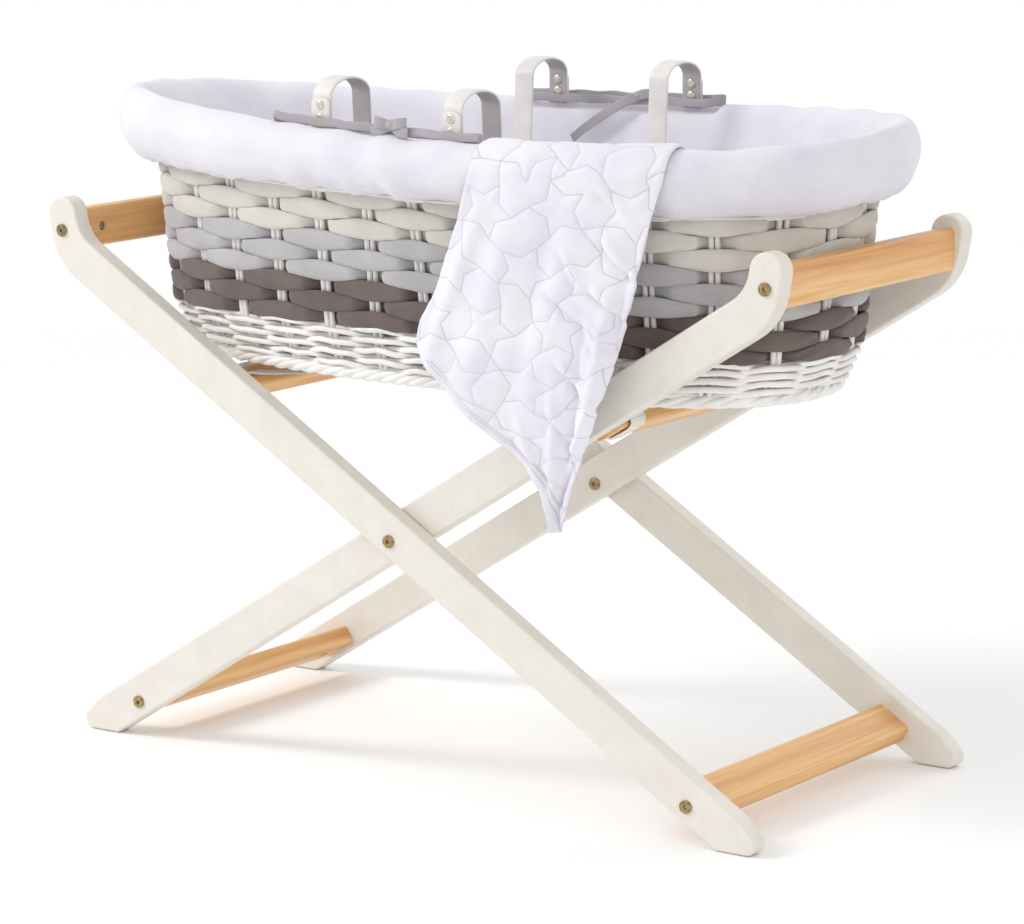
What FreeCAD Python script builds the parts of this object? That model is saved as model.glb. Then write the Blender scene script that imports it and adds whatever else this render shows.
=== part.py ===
"""Moses basket on a folding cross-legged stand.

Frame: millimetres, +Z up. The origin is on the floor, under the middle of the stand. +X runs
along the basket, +Y across it. The outer frame's legs rise towards -X and the inner frame's
legs towards +X, and the two frames turn about one line through their pivot bolts.
"""
import FreeCAD, Part
import math
import os

import Sketcher
from FreeCAD import Placement, Rotation, Vector

doc = FreeCAD.newDocument("moses_basket")
sheet = doc.addObject("Spreadsheet::Sheet", "dims")

DIMENSIONS = [
    # stand: legs, seen from the front, with corners measured from the pivot
    ("pivot_height", 244.0, "height of the pivot line above the floor"),
    ("leg_angle", 31.76, "slope of the straight part of a leg, degrees"),
    ("leg_thick", 20.0, "leg thickness across the basket"),
    ("outer_leg_inside", 175.0, "inner face of the outer legs, from the middle"),
    ("inner_leg_inside", 153.0, "inner face of the inner legs, from the middle"),
    ("heel_x", -365.6, "back of the foot, along"),
    ("heel_z", -244.0, "back of the foot, up"),
    ("chin_x", 411.7, "corner under the head, along"),
    ("chin_z", 237.1, "corner under the head, up"),
    ("crown_x", 422.6, "outer top corner of the head, along"),
    ("crown_z", 298.5, "outer top corner of the head, up"),
    ("brow_x", 388.1, "inner top corner of the head, along"),
    ("brow_z", 304.6, "inner top corner of the head, up"),
    ("nape_x", 381.2, "corner between head and upper edge, along"),
    ("nape_z", 265.4, "corner between head and upper edge, up"),
    ("instep_x", -392.0, "corner between upper edge and toe, along"),
    ("instep_z", -213.0, "corner between upper edge and toe, up"),
    ("toe_x", -421.0, "tip of the foot, along"),
    ("toe_z", -244.0, "tip of the foot, up"),
    ("chin_round", 62.0, "radius of the corner under the head"),
    ("crown_round", 17.0, "radius of both top corners"),
    ("nape_round", 40.0, "radius of the hollow behind the head"),
    ("instep_round", 30.0, "radius of the instep"),
    ("toe_round", 10.0, "radius of the toe"),
    ("leg_edge_round", 2.5, "softened edges of a leg"),
    # stand: rails
    ("top_rail_x", 402.0, "middle of a top rail, along"),
    ("top_rail_z", 513.0, "middle of a top rail, up"),
    ("top_rail_width", 40.0, "top rail, height"),
    ("top_rail_thick", 18.0, "top rail, thickness"),
    ("support_rail_reach", 252.0, "middle of a support rail from the pivot, along the leg"),
    ("support_rail_drop", 8.0, "middle of a support rail below the leg's line"),
    ("support_rail_width", 32.0, "support rail, width along the leg"),
    ("support_rail_thick", 18.0, "support rail, thickness"),
    ("bottom_rail_x", -335.0, "middle of a bottom rail, along"),
    ("bottom_rail_z", 36.6, "middle of a bottom rail, up"),
    ("bottom_rail_width", 40.0, "bottom rail, width along the leg"),
    ("bottom_rail_thick", 20.0, "bottom rail, thickness"),
    ("rail_edge_round", 4.5, "rounded long edges of a rail"),
    # stand: fasteners
    ("bolt_radius", 3.0, "shank of a furniture bolt"),
    ("bolt_hole_radius", 3.05, "hole for a furniture bolt"),
    ("bolt_head_radius", 6.2, "flat head of a bolt"),
    ("bolt_head_thick", 1.8, "flat head of a bolt, thickness"),
    ("bolt_length", 60.0, "bolt, under the head"),
    ("socket_radius", 2.3, "hexagon socket, corner radius"),
    ("socket_depth", 1.4, "hexagon socket, depth"),
    ("barrel_radius", 5.0, "barrel nut"),
    ("barrel_length", 13.0, "barrel nut, length"),
    ("barrel_inset", 30.0, "barrel nut, from the rail's end"),
    ("dowel_radius", 4.0, "wooden dowel"),
    ("dowel_depth", 13.0, "dowel, depth in the leg"),
    ("dowel_length", 33.0, "dowel, length"),
    ("dowel_pitch", 16.0, "distance between the two dowels of one rail end"),
    ("sleeve_radius", 4.5, "sleeve nut, which is the pivot's bearing"),
    ("sleeve_hole_radius", 4.55, "bearing hole of an inner leg"),
    ("washer_radius", 9.0, "spacing washer between the legs"),
    ("washer_thick", 1.7, "spacing washer, thickness"),
    ("bearing_gap", 0.3, "gap between parts that turn against each other"),
    # webbing straps
    ("strap_width", 25.0, "webbing strap, width"),
    ("strap_thick", 1.3, "webbing strap, thickness"),
    ("strap_place", 127.0, "webbing strap, distance from the middle"),
    ("strap_bend", 2.2, "webbing strap, cut corner where it goes round a rail"),
    ("strap_lap", 3.0, "webbing strap, end on the rail's underside, from its edge"),
    ("strap_level_reach", 120.0, "webbing strap, end of its slack run, from the middle"),
    ("strap_sag_reach", 40.0, "webbing strap, lowest stretch, from the middle"),
    # basket: half lengths, half widths and heights of its outer surface
    ("foot_half_length", 361.0, "basket foot, half length"),
    ("foot_half_width", 166.5, "basket foot, half width"),
    ("foot_height", 388.3, "underside of the basket in the middle"),
    ("band_half_length", 378.0, "top of the willow band, half length"),
    ("band_half_width", 170.5, "top of the willow band, half width"),
    ("band_height", 440.0, "top of the willow band"),
    ("wall_half_length", 390.0, "top weaver row, half length"),
    ("wall_half_width", 191.5, "top weaver row, half width"),
    ("row_pitch", 14.85, "height of one weaver row"),
    ("row_count", 9.0, "weaver rows"),
    ("row_thick", 7.0, "thickness of a weaver row"),
    ("row_gap", 0.4, "gap between weaver rows"),
    ("cane_radius", 2.6, "upright cane"),
    ("cane_pairs", 32.0, "pairs of upright canes"),
    ("cane_phase", 0.456, "first pair, as a share of the distance between two pairs"),
    ("cane_crowding", 0.0071, "how much closer the pairs stand on the far side"),
    ("cane_widest", 0.795, "place round the outline where the pairs stand widest"),
    ("cane_spacing", 6.4, "distance between the two canes of a pair"),
    ("cane_clearance", 0.6, "gap between the canes and the weaver rows"),
    ("cane_end_gap", 1.0, "ends of a cane inside the height of the weaver rows"),
    ("border_radius", 6.5, "twisted bottom border"),
    ("willow_extra_thick", 3.0, "how much thicker the willow band is than a weaver row"),
    ("rim_border_radius", 5.5, "rim border"),
    ("rim_border_lift", 6.5, "middle of the rim border above the weaver rows"),
    ("base_thick", 7.0, "woven base"),
    ("base_inset", 8.0, "edge of the base inside the middle of the bottom border"),
    ("base_lift", 3.0, "underside of the base above the basket's underside"),
    ("liner_thick", 2.0, "fabric liner"),
    ("liner_gap", 1.9, "room between the canes and the liner"),
    ("liner_lift", 12.0, "lower edge of the liner above the basket's underside"),
    ("roll_foot_out", 1.5, "foot of the padded roll outside the liner's inside wall"),
    ("roll_foot_lift", 14.0, "foot of the padded roll above the weaver rows, outside"),
    ("roll_face_lift", 15.0, "foot of the padded roll above the weaver rows, inside"),
    ("roll_padding", 9.0, "thickness of the padded roll at its widest line"),
    ("roll_padding_lift", 3.0, "padding's outer corner above the roll's widest line"),
    ("hem_thick", 3.0, "thickness of the skirt at its hem"),
    ("rim_tilt", -4.3, "how much the rim rises towards -X"),
    ("rim_twist", 10.9, "how much the rim is twisted"),
    # mattress
    ("mattress_half_length", 338.0, "mattress, half length"),
    ("mattress_half_width", 141.0, "mattress, half width"),
    ("mattress_thick", 34.0, "mattress, thickness"),
    ("mattress_gap", 1.0, "mattress above the woven base"),
    # rim, binding and handles
    ("crest_half_length", 416.4, "crest of the rim, half length"),
    ("crest_half_width", 199.6, "crest of the rim, half width"),
    ("crest_height", 630.3, "crest of the rim"),
    ("binding_height", 8.0, "bias binding, height"),
    ("binding_thick", 2.0, "bias binding, thickness"),
    ("binding_out", 0.6, "outer face of the binding outside the crest's line"),
    ("binding_gap", 1.0, "lower edge of the binding above the crest"),
    ("handle_width", 22.0, "carrying handle, width"),
    ("handle_thick", 3.0, "carrying handle, thickness"),
    ("handle_inset", 9.5, "handle, from the crest's widest line"),
    ("handle_top", 674.0, "top of a handle's arch"),
    ("handle_arch", 16.0, "height of the arch above the straight ends"),
    ("handle_reach", 60.0, "how far a handle's arch leans inwards"),
    ("handle_lean", 8.0, "how much further in a handle's middle hangs"),
    ("handle_foot", 492.0, "lower edge of a handle's middle, inside the basket"),
    ("tab_height", 26.0, "doubled end of a handle, height"),
    ("tab_thick", 1.8, "doubled end of a handle, thickness"),
    ("tab_gap", 1.5, "lower end of a handle and its tab above the crest"),
    ("near_handle_left", -76.0, "near handle, left end"),
    ("near_handle_right", 76.0, "near handle, right end"),
    ("far_handle_left", -69.0, "far handle, left end"),
    ("far_handle_right", 92.0, "far handle, right end"),
    ("rivet_radius", 4.5, "rivet head"),
    ("rivet_pin_radius", 2.0, "rivet pin"),
    ("rivet_head_thick", 1.6, "rivet head, thickness"),
    ("rivet_burr_thick", 1.0, "rivet burr on the inner face, thickness"),
    ("rivet_low", 8.0, "lower rivet above the crest"),
    ("rivet_high", 20.0, "upper rivet above the crest"),
    # coverlet
    ("coverlet_thick", 6.0, "quilted coverlet, thickness"),
    ("coverlet_gap", 2.0, "coverlet, distance from the rim"),
    ("coverlet_overlap", 12.0, "coverlet, how far its two panels run into each other"),
    ("coverlet_tuck", 20.0, "coverlet, its inner end above the weaver rows' foot"),
]


def fill_sheet():
    for row, (alias, value, meaning) in enumerate(DIMENSIONS, 1):
        sheet.set(f"A{row}", meaning)
        sheet.set(f"B{row}", str(value))
        sheet.setAlias(f"B{row}", alias)
    doc.recompute()


fill_sheet()


def dim(alias):
    return float(sheet.get(alias))


nodes = {}


def keep(label, thing):
    """Make an object of the document a sub-part, which is written to its own file."""
    thing.Label = label
    nodes[label] = thing
    return thing


# --- PartDesign helpers -------------------------------------------------------------------


def new_body(label):
    body = doc.addObject("PartDesign::Body", label)
    return keep(label, body)


def plane_sketch(body, role, name):
    sketch = body.newObject("Sketcher::SketchObject", name)
    plane = [feature for feature in body.Origin.OriginFeatures if feature.Role == role][0]
    sketch.AttachmentSupport = [(plane, "")]
    sketch.MapMode = "FlatFace"
    return sketch


def polygon_sketch(sketch, corners):
    """A closed polygon. Each corner is a pair of values and a pair of expressions."""
    count = len(corners)
    for number, (values, _) in enumerate(corners):
        following = corners[(number + 1) % count][0]
        sketch.addGeometry(Part.LineSegment(Vector(*values, 0), Vector(*following, 0)), False)
    for number in range(count):
        joint = Sketcher.Constraint("Coincident", number, 2, (number + 1) % count, 1)
        sketch.addConstraint(joint)
    for number, (values, expressions) in enumerate(corners):
        for kind, value, expression in zip(("DistanceX", "DistanceY"), values, expressions):
            tie = Sketcher.Constraint(kind, -1, 1, number, 1, value)
            index = sketch.addConstraint(tie)
            sketch.setExpression(f"Constraints[{index}]", expression)


def pad(body, sketch, expression, both_ways=False):
    feature = body.newObject("PartDesign::Pad", f"{body.Name}_pad")
    feature.Profile = sketch
    feature.Length = 1.0
    feature.setExpression("Length", expression)
    if both_ways:
        feature.Midplane = True
    sketch.Visibility = False
    doc.recompute()
    return feature


def edge_names(shape, wanted):
    return [f"Edge{number}" for number, edge in enumerate(shape.Edges, 1) if wanted(edge)]


def round_edges(body, base, wanted, expression, name):
    feature = body.newObject("PartDesign::Fillet", f"{body.Name}_{name}")
    feature.Base = (base, edge_names(base.Shape, wanted))
    feature.Radius = 1.0
    feature.setExpression("Radius", expression)
    doc.recompute()
    return feature


def bore(body, name, radius, height, place):
    """A round hole cut from the body, from place's origin along its +Z."""
    before = body.Shape.Volume
    hole = body.newObject("PartDesign::SubtractiveCylinder", f"{body.Name}_{name}")
    hole.setExpression("Radius", radius)
    hole.setExpression("Height", height)
    hole.Placement = place
    doc.recompute()
    if body.Shape.Volume >= before:
        raise RuntimeError(f"{body.Name}: {name} cuts nothing")
    return hole


# --- stand --------------------------------------------------------------------------------

LEG_CORNERS = ("heel", "chin", "crown", "brow", "nape", "instep", "toe")
ROUNDED_CORNERS = (
    ("chin", "chin_round"),
    ("crown", "crown_round"),
    ("brow", "crown_round"),
    ("nape", "nape_round"),
    ("instep", "instep_round"),
    ("toe", "toe_round"),
)


def along_leg(reach, side):
    """A point on a leg's line, in x and in height above the pivot. side is +1 or -1."""
    angle = math.radians(dim("leg_angle"))
    return Vector(side * reach * math.cos(angle), 0, reach * math.sin(angle))


def support_rail_middle(side):
    angle = math.radians(dim("leg_angle"))
    middle = along_leg(dim("support_rail_reach"), side)
    drop = dim("support_rail_drop")
    return middle + Vector(side * drop * math.sin(angle), 0, -drop * math.cos(angle))


def leg(label, lean, front, inside, pivot_hole):
    """One leg. lean is +1 for a head at +X, front is -1 for the near side and +1 for the far."""
    body = new_body(label)
    sketch = plane_sketch(body, "XZ_Plane", f"{label}_outline")
    sign = "" if lean > 0 else "-"
    corners = [
        (
            (lean * dim(f"{corner}_x"), dim(f"{corner}_z")),
            (f"{sign}dims.{corner}_x", f"dims.{corner}_z"),
        )
        for corner in LEG_CORNERS
    ]
    polygon_sketch(sketch, corners)
    base = pad(body, sketch, "dims.leg_thick")
    for corner, radius in ROUNDED_CORNERS:
        at_x = lean * dim(f"{corner}_x")
        at_z = dim(f"{corner}_z")

        def is_corner(edge):
            ends = [vertex.Point for vertex in edge.Vertexes]
            return all(abs(end.x - at_x) < 0.01 and abs(end.z - at_z) < 0.01 for end in ends)

        base = round_edges(body, base, is_corner, f"dims.{radius}", corner)
    thick = dim("leg_thick")

    def is_outline(edge):
        ends = [vertex.Point for vertex in edge.Vertexes]
        return max(abs(end.y - ends[0].y) for end in ends) < 0.01

    round_edges(body, base, is_outline, "dims.leg_edge_round", "edges")
    along_y = Rotation(Vector(0, 0, 1), Vector(0, 1, 0))
    bolt_x = dim("top_rail_x")
    bolt_z = dim("top_rail_z") - dim("pivot_height")
    foot_z = dim("bottom_rail_z") - dim("pivot_height")
    holes = (
        ("head_hole", lean * bolt_x, bolt_z, "dims.bolt_hole_radius"),
        ("foot_hole", lean * dim("bottom_rail_x"), foot_z, "dims.bolt_hole_radius"),
        ("pivot_hole", 0.0, 0.0, pivot_hole),
    )
    for name, at_x, at_z, radius in holes:
        place = Placement(Vector(at_x, -thick, at_z), along_y)
        bore(body, name, radius, "dims.leg_thick", place)
    inner_y = 0.0 if front < 0 else -thick
    inwards = Rotation(Vector(0, 0, 1), Vector(0, front, 0))
    for number, shift in enumerate((-0.5, 0.5), 1):
        step = along_leg(shift * dim("dowel_pitch"), lean)
        middle = support_rail_middle(lean) + step
        place = Placement(Vector(middle.x, inner_y, middle.z), inwards)
        bore(body, f"dowel_hole_{number}", "dims.dowel_radius", "dims.dowel_depth", place)
    face = inside if front < 0 else f"{inside} + dims.leg_thick"
    body.setExpression("Placement.Base.z", "dims.pivot_height")
    body.setExpression("Placement.Base.y", f"-({face})" if front < 0 else face)
    doc.recompute()
    return body


def rail(label, name, middle, turn, inside, nut_side):
    """One rail. Its width is along the body's X and its thickness along Z, before turning."""
    body = new_body(label)
    sketch = plane_sketch(body, "XZ_Plane", f"{label}_section")
    half_width = dim(f"{name}_width") / 2
    half_thick = dim(f"{name}_thick") / 2
    corners = [
        (
            (along * half_width, up * half_thick),
            (f"{along} * dims.{name}_width / 2", f"{up} * dims.{name}_thick / 2"),
        )
        for along, up in ((-1, -1), (1, -1), (1, 1), (-1, 1))
    ]
    polygon_sketch(sketch, corners)
    base = pad(body, sketch, f"2 * dims.{inside}", both_ways=True)

    def is_long(edge):
        ends = [vertex.Point for vertex in edge.Vertexes]
        return abs(ends[0].y - ends[1].y) > 1.0

    round_edges(body, base, is_long, "dims.rail_edge_round", "edges")
    half_span = dim(inside)
    for end, word in ((-1, "near"), (1, "far")):
        inwards = Rotation(Vector(0, 0, 1), Vector(0, -end, 0))
        if nut_side:
            place = Placement(Vector(0, end * half_span, 0), inwards)
            depth = "dims.bolt_length - dims.leg_thick + 2"
            bore(body, f"{word}_bolt_hole", "dims.bolt_hole_radius", depth, place)
            through = Rotation(Vector(0, 0, 1), Vector(0, 0, -nut_side))
            at = Vector(0, end * (half_span - dim("barrel_inset")), nut_side * half_thick)
            depth = f"dims.{name}_thick / 2 + dims.barrel_length / 2"
            bore(body, f"{word}_nut_hole", "dims.barrel_radius", depth, Placement(at, through))
        else:
            for number, shift in enumerate((-0.5, 0.5), 1):
                at = Vector(shift * dim("dowel_pitch"), end * half_span, 0)
                depth = "dims.dowel_length - dims.dowel_depth"
                place = Placement(at, inwards)
                bore(body, f"{word}_dowel_hole_{number}", "dims.dowel_radius", depth, place)
    body.Placement = Placement(middle, Rotation(Vector(0, 1, 0), turn))
    doc.recompute()
    return body


def cylinder(name, radius, height, place):
    thing = doc.addObject("Part::Cylinder", name)
    thing.setExpression("Radius", radius)
    thing.setExpression("Height", height)
    thing.Placement = place
    return thing


def cut(name, base, tool):
    thing = doc.addObject("Part::Cut", name)
    thing.Base = base
    thing.Tool = tool
    return thing


def fuse(name, shapes):
    thing = doc.addObject("Part::MultiFuse", name)
    thing.Shapes = shapes
    return thing


def group(label, things):
    thing = doc.addObject("Part::Compound", label)
    thing.Links = things
    return keep(label, thing)


def furniture_bolt(name, at, inwards, length):
    """A flat-headed bolt. at is the middle of the face it is screwed down on."""
    turn = Rotation(Vector(0, 0, 1), inwards)
    head_thick = dim("bolt_head_thick")
    head = cylinder(
        f"{name}_head", "dims.bolt_head_radius", "dims.bolt_head_thick",
        Placement(at - inwards * head_thick, turn),
    )
    shank = cylinder(f"{name}_shank", "dims.bolt_radius", length, Placement(at, turn))
    whole = fuse(f"{name}_solid", [head, shank])
    socket = doc.addObject("Part::Prism", f"{name}_socket")
    socket.Polygon = 6
    socket.setExpression("Circumradius", "dims.socket_radius")
    socket.setExpression("Height", "dims.socket_depth")
    socket.Placement = Placement(at - inwards * head_thick, turn)
    return cut(name, whole, socket)


def barrel_nut(name, middle, axis, along):
    """A cross-dowel nut with its threaded hole along the bolt."""
    turn = Rotation(Vector(0, 0, 1), axis)
    start = middle - axis * (dim("barrel_length") / 2)
    barrel = cylinder(f"{name}_barrel", "dims.barrel_radius", "dims.barrel_length",
                      Placement(start, turn))
    reach = dim("barrel_radius") + 1
    thread = cylinder(
        f"{name}_thread", "dims.bolt_hole_radius", "2 * dims.barrel_radius + 2",
        Placement(middle - along * reach, Rotation(Vector(0, 0, 1), along)),
    )
    return cut(name, barrel, thread)


def frame(word, lean):
    """One frame of the stand: two legs, three rails and what holds them together."""
    inside = f"{word}_leg_inside"
    pivot_hole = "dims.bolt_hole_radius" if word == "outer" else "dims.sleeve_hole_radius"
    leg(f"{word}_leg_front", lean, -1, f"dims.{inside}", pivot_hole)
    leg(f"{word}_leg_rear", lean, 1, f"dims.{inside}", pivot_hole)
    angle = dim("leg_angle")
    pivot = Vector(0, 0, dim("pivot_height"))
    top = Vector(lean * dim("top_rail_x"), 0, dim("top_rail_z"))
    bottom = Vector(lean * dim("bottom_rail_x"), 0, dim("bottom_rail_z"))
    support = pivot + support_rail_middle(lean)
    rail(f"{word}_top_rail", "top_rail", top, -lean * 90, inside, 1)
    rail(f"{word}_bottom_rail", "bottom_rail", bottom, -lean * angle, inside, -1)
    rail(f"{word}_support_rail", "support_rail", support, -lean * angle, inside, 0)
    outside = dim(inside) + dim("leg_thick")
    leg_up = Rotation(Vector(0, 1, 0), -lean * angle).multVec(Vector(0, 0, 1))
    bolts = []
    nuts = []
    for spot, middle, axis in (("top", top, Vector(-lean, 0, 0)), ("bottom", bottom, leg_up)):
        for end, side in ((-1, "near"), (1, "far")):
            inwards = Vector(0, -end, 0)
            at = middle + Vector(0, end * outside, 0)
            name = f"{word}_{spot}_{side}"
            bolts.append(furniture_bolt(f"{name}_bolt", at, inwards, "dims.bolt_length"))
            nut_at = middle + Vector(0, end * (dim(inside) - dim("barrel_inset")), 0)
            nuts.append(barrel_nut(f"{name}_nut", nut_at, axis, inwards))
    group(f"{word}_rail_bolts", bolts)
    group(f"{word}_barrel_nuts", nuts)
    dowels = []
    for end in (-1, 1):
        outwards = Vector(0, end, 0)
        start = end * (dim(inside) + dim("dowel_depth") - dim("dowel_length"))
        for number, shift in enumerate((-0.5, 0.5), 1):
            at = support + along_leg(shift * dim("dowel_pitch"), lean) + Vector(0, start, 0)
            place = Placement(at, Rotation(Vector(0, 0, 1), outwards))
            name = f"{word}_dowel_{number}_{'near' if end < 0 else 'far'}"
            dowels.append(cylinder(name, "dims.dowel_radius", "dims.dowel_length", place))
    group(f"{word}_dowels", dowels)


def pivots():
    """The bolt, sleeve nut and washer on each side. All three stay with the outer frame."""
    bolts = []
    sleeves = []
    washers = []
    height = dim("pivot_height")
    outer_face = dim("outer_leg_inside") + dim("leg_thick")
    for end, side in ((-1, "near"), (1, "far")):
        inwards = Vector(0, -end, 0)
        turn = Rotation(Vector(0, 0, 1), inwards)
        at = Vector(0, end * outer_face, height)
        length = "dims.leg_thick + dims.washer_thick + dims.leg_thick"
        bolts.append(furniture_bolt(f"pivot_bolt_{side}", at, inwards, length))
        washer_at = Vector(0, end * dim("outer_leg_inside"), height)
        disc = cylinder(f"washer_disc_{side}", "dims.washer_radius", "dims.washer_thick",
                        Placement(washer_at, turn))
        hole = cylinder(f"washer_hole_{side}", "dims.sleeve_hole_radius", "dims.washer_thick",
                        Placement(washer_at, turn))
        washers.append(cut(f"washer_{side}", disc, hole))
        cap_at = Vector(0, end * (dim("inner_leg_inside") - dim("bearing_gap")), height)
        cap = cylinder(f"sleeve_cap_{side}", "dims.bolt_head_radius", "dims.bolt_head_thick",
                       Placement(cap_at, turn))
        shank = cylinder(
            f"sleeve_shank_{side}", "dims.sleeve_radius",
            "dims.outer_leg_inside - dims.inner_leg_inside + dims.bearing_gap",
            Placement(cap_at, Rotation(Vector(0, 0, 1), -inwards)),
        )
        whole = fuse(f"sleeve_solid_{side}", [cap, shank])
        thread = cylinder(
            f"sleeve_thread_{side}", "dims.bolt_hole_radius",
            "dims.outer_leg_inside - dims.inner_leg_inside",
            Placement(washer_at, turn),
        )
        bored = cut(f"sleeve_bored_{side}", whole, thread)
        socket = doc.addObject("Part::Prism", f"sleeve_socket_{side}")
        socket.Polygon = 6
        socket.setExpression("Circumradius", "dims.socket_radius")
        socket.setExpression("Height", "dims.socket_depth")
        socket.Placement = Placement(
            cap_at + inwards * dim("bolt_head_thick"), Rotation(Vector(0, 0, 1), -inwards)
        )
        sleeves.append(cut(f"sleeve_{side}", bored, socket))
    group("pivot_bolts", bolts)
    group("pivot_sleeve_nuts", sleeves)
    group("pivot_washers", washers)


# --- shapes of the basket -----------------------------------------------------------------

OUTLINE_POINTS = 56
# powers of the level lines: 2 is an ellipse, and a higher one is fuller at its corners
FOOT_POWER = 2.4
BAND_POWER = 2.6
WALL_POWER = 2.5
CREST_POWER = 2.4


def shape_part(label, shape):
    """A sub-part whose shape is worked out here from the sheet's values."""
    thing = doc.addObject("Part::Feature", label)
    thing.Shape = shape
    return keep(label, thing)


def between(low, high, share):
    return low + (high - low) * share


# how the basket's level lines bend, from its foot to its crest: the height, how much higher
# the ends are there, and the share of the rim's tilt and twist
RISES = (
    (400.0, 0.0, 0.2),
    (440.0, -9.0, 0.4),
    (506.0, -9.0, 0.6),
    (573.0, 1.0, 0.7),
    (630.0, 13.6, 1.0),
)


def rise(height, along, across):
    """How far the basket's level lines are lifted at a place, as shares of its half sizes."""
    height = min(max(height, RISES[0][0]), RISES[-1][0])
    for low, high in zip(RISES, RISES[1:]):
        if height <= high[0]:
            break
    share = (height - low[0]) / (high[0] - low[0])
    ends = between(low[1], high[1], share) * along ** 2
    twist = between(low[2], high[2], share)
    return ends + twist * (dim("rim_tilt") * along + dim("rim_twist") * along * across)


def outline_point(level, turn):
    """A point of a level line: half length, half width, power and height."""
    half_length, half_width, power, height = level
    cosine = math.cos(turn)
    sine = math.sin(turn)
    along = math.copysign(abs(cosine) ** (2 / power), cosine)
    across = math.copysign(abs(sine) ** (2 / power), sine)
    lift = rise(height, along, across)
    return Vector(half_length * along, half_width * across, height + lift)


def outline(level, flat=False):
    points = []
    for number in range(OUTLINE_POINTS):
        point = outline_point(level, 2 * math.pi * number / OUTLINE_POINTS)
        if flat:
            point.z = level[3]
        points.append(point)
    curve = Part.BSplineCurve()
    curve.interpolate(Points=points, PeriodicFlag=True)
    return Part.Wire([curve.toShape()])


def ring(levels):
    """A closed ring: its section is the polygon of the levels, followed round the basket."""
    wires = [outline(level) for level in levels]
    count = len(wires)
    faces = []
    for number, wire in enumerate(wires):
        following = wires[(number + 1) % count]
        faces.append(Part.makeRuledSurface(wire.Edges[0], following.Edges[0]))
    shell = Part.makeShell(faces)
    shell.sewShape()
    solid = Part.makeSolid(shell)
    if solid.Volume < 0:
        solid.reverse()
    return solid


def wall_level(height, inset=0.0):
    """The basket's outer surface at a height, moved inwards by inset."""
    if height < dim("band_height"):
        share = (height - dim("foot_height")) / (dim("band_height") - dim("foot_height"))
        length = between(dim("foot_half_length"), dim("band_half_length"), share)
        width = between(dim("foot_half_width"), dim("band_half_width"), share)
        power = between(FOOT_POWER, BAND_POWER, share)
    else:
        top = dim("band_height") + dim("row_count") * dim("row_pitch")
        share = (height - dim("band_height")) / (top - dim("band_height"))
        length = between(dim("band_half_length"), dim("wall_half_length"), share)
        width = between(dim("band_half_width"), dim("wall_half_width"), share)
        power = between(BAND_POWER, WALL_POWER, share)
    return (length - inset, width - inset, power, height)


def slab(level, thick):
    """A flat plate, cut to a level line."""
    return Part.Face(outline(level, flat=True)).extrude(Vector(0, 0, thick))


def band_ring(low, high, outer, inner):
    """A plain band between two heights, with its outer and inner faces inset from the wall."""
    return ring([
        wall_level(low, outer),
        wall_level(high, outer),
        wall_level(high, inner),
        wall_level(low, inner),
    ])


ROD_SIDES = 8


def round_ring(level, radius):
    """A rod that follows a level line; level is the middle of the rod."""
    half_length, half_width, power, height = level
    levels = []
    for number in range(ROD_SIDES):
        turn = 2 * math.pi * (number + 0.5) / ROD_SIDES
        out = radius * math.cos(turn)
        up = radius * math.sin(turn)
        levels.append((half_length + out, half_width + out, power, height + up))
    return ring(levels)


def basket_weave():
    """The base, the borders, the willow band, the weaver rows and the upright canes."""
    border = dim("border_radius")
    length = dim("foot_half_length") - border
    width = dim("foot_half_width") - border
    middle = (length, width, FOOT_POWER, dim("foot_height") + border)
    shape_part("bottom_border", round_ring(middle, border))
    inset = dim("base_inset")
    base_height = dim("foot_height") + dim("base_lift")
    base_level = (length - inset, width - inset, FOOT_POWER, base_height)
    shape_part("basket_base", slab(base_level, dim("base_thick")))
    willow_foot = dim("foot_height") + 2 * border + dim("row_gap")
    willow_top = dim("band_height") - dim("row_gap")
    willow_depth = dim("row_thick") + dim("willow_extra_thick")
    shape_part("willow_band", band_ring(willow_foot, willow_top, 0.0, willow_depth))
    row_start = dim("band_height")
    for number in range(int(dim("row_count"))):
        low = row_start + number * dim("row_pitch")
        high = low + dim("row_pitch") - dim("row_gap")
        row = band_ring(low, high, 0.0, dim("row_thick"))
        shape_part(f"weaver_row_{number + 1}", row)
    wall_top = row_start + dim("row_count") * dim("row_pitch")
    shape_part("upright_canes", Part.makeCompound(canes(row_start, wall_top)))
    rim_radius = dim("rim_border_radius")
    rim = wall_level(wall_top, rim_radius)
    rim_middle = (*rim[:3], wall_top + dim("rim_border_lift"))
    shape_part("rim_border", round_ring(rim_middle, rim_radius))


SMALL_TURN = 0.01


def canes(low, high):
    """Upright canes in pairs, just inside the weaver rows."""
    inset = dim("row_thick") + dim("cane_radius") + dim("cane_clearance")
    solids = []
    for turn in turns_at(cane_places(), wall_level(low, inset)):
        for side in (-0.5, 0.5):
            foot = outline_point(wall_level(low + dim("cane_end_gap"), inset), turn)
            head = outline_point(wall_level(high - dim("cane_end_gap"), inset), turn)
            ahead = outline_point(wall_level(low, inset), turn + SMALL_TURN)
            sideways = Vector(ahead.x - foot.x, ahead.y - foot.y, 0).normalize()
            shift = sideways * (side * dim("cane_spacing"))
            axis = head - foot
            solids.append(
                Part.makeCylinder(dim("cane_radius"), axis.Length, foot + shift, axis)
            )
    return solids


def cane_places():
    """Where the cane pairs stand, as shares of the outline's length, from +X towards +Y."""
    places = []
    for number in range(int(dim("cane_pairs"))):
        even = (number + dim("cane_phase")) / dim("cane_pairs")
        crowd = dim("cane_crowding") * math.sin(2 * math.pi * (even - dim("cane_widest")))
        places.append(even + crowd)
    return places


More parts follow.
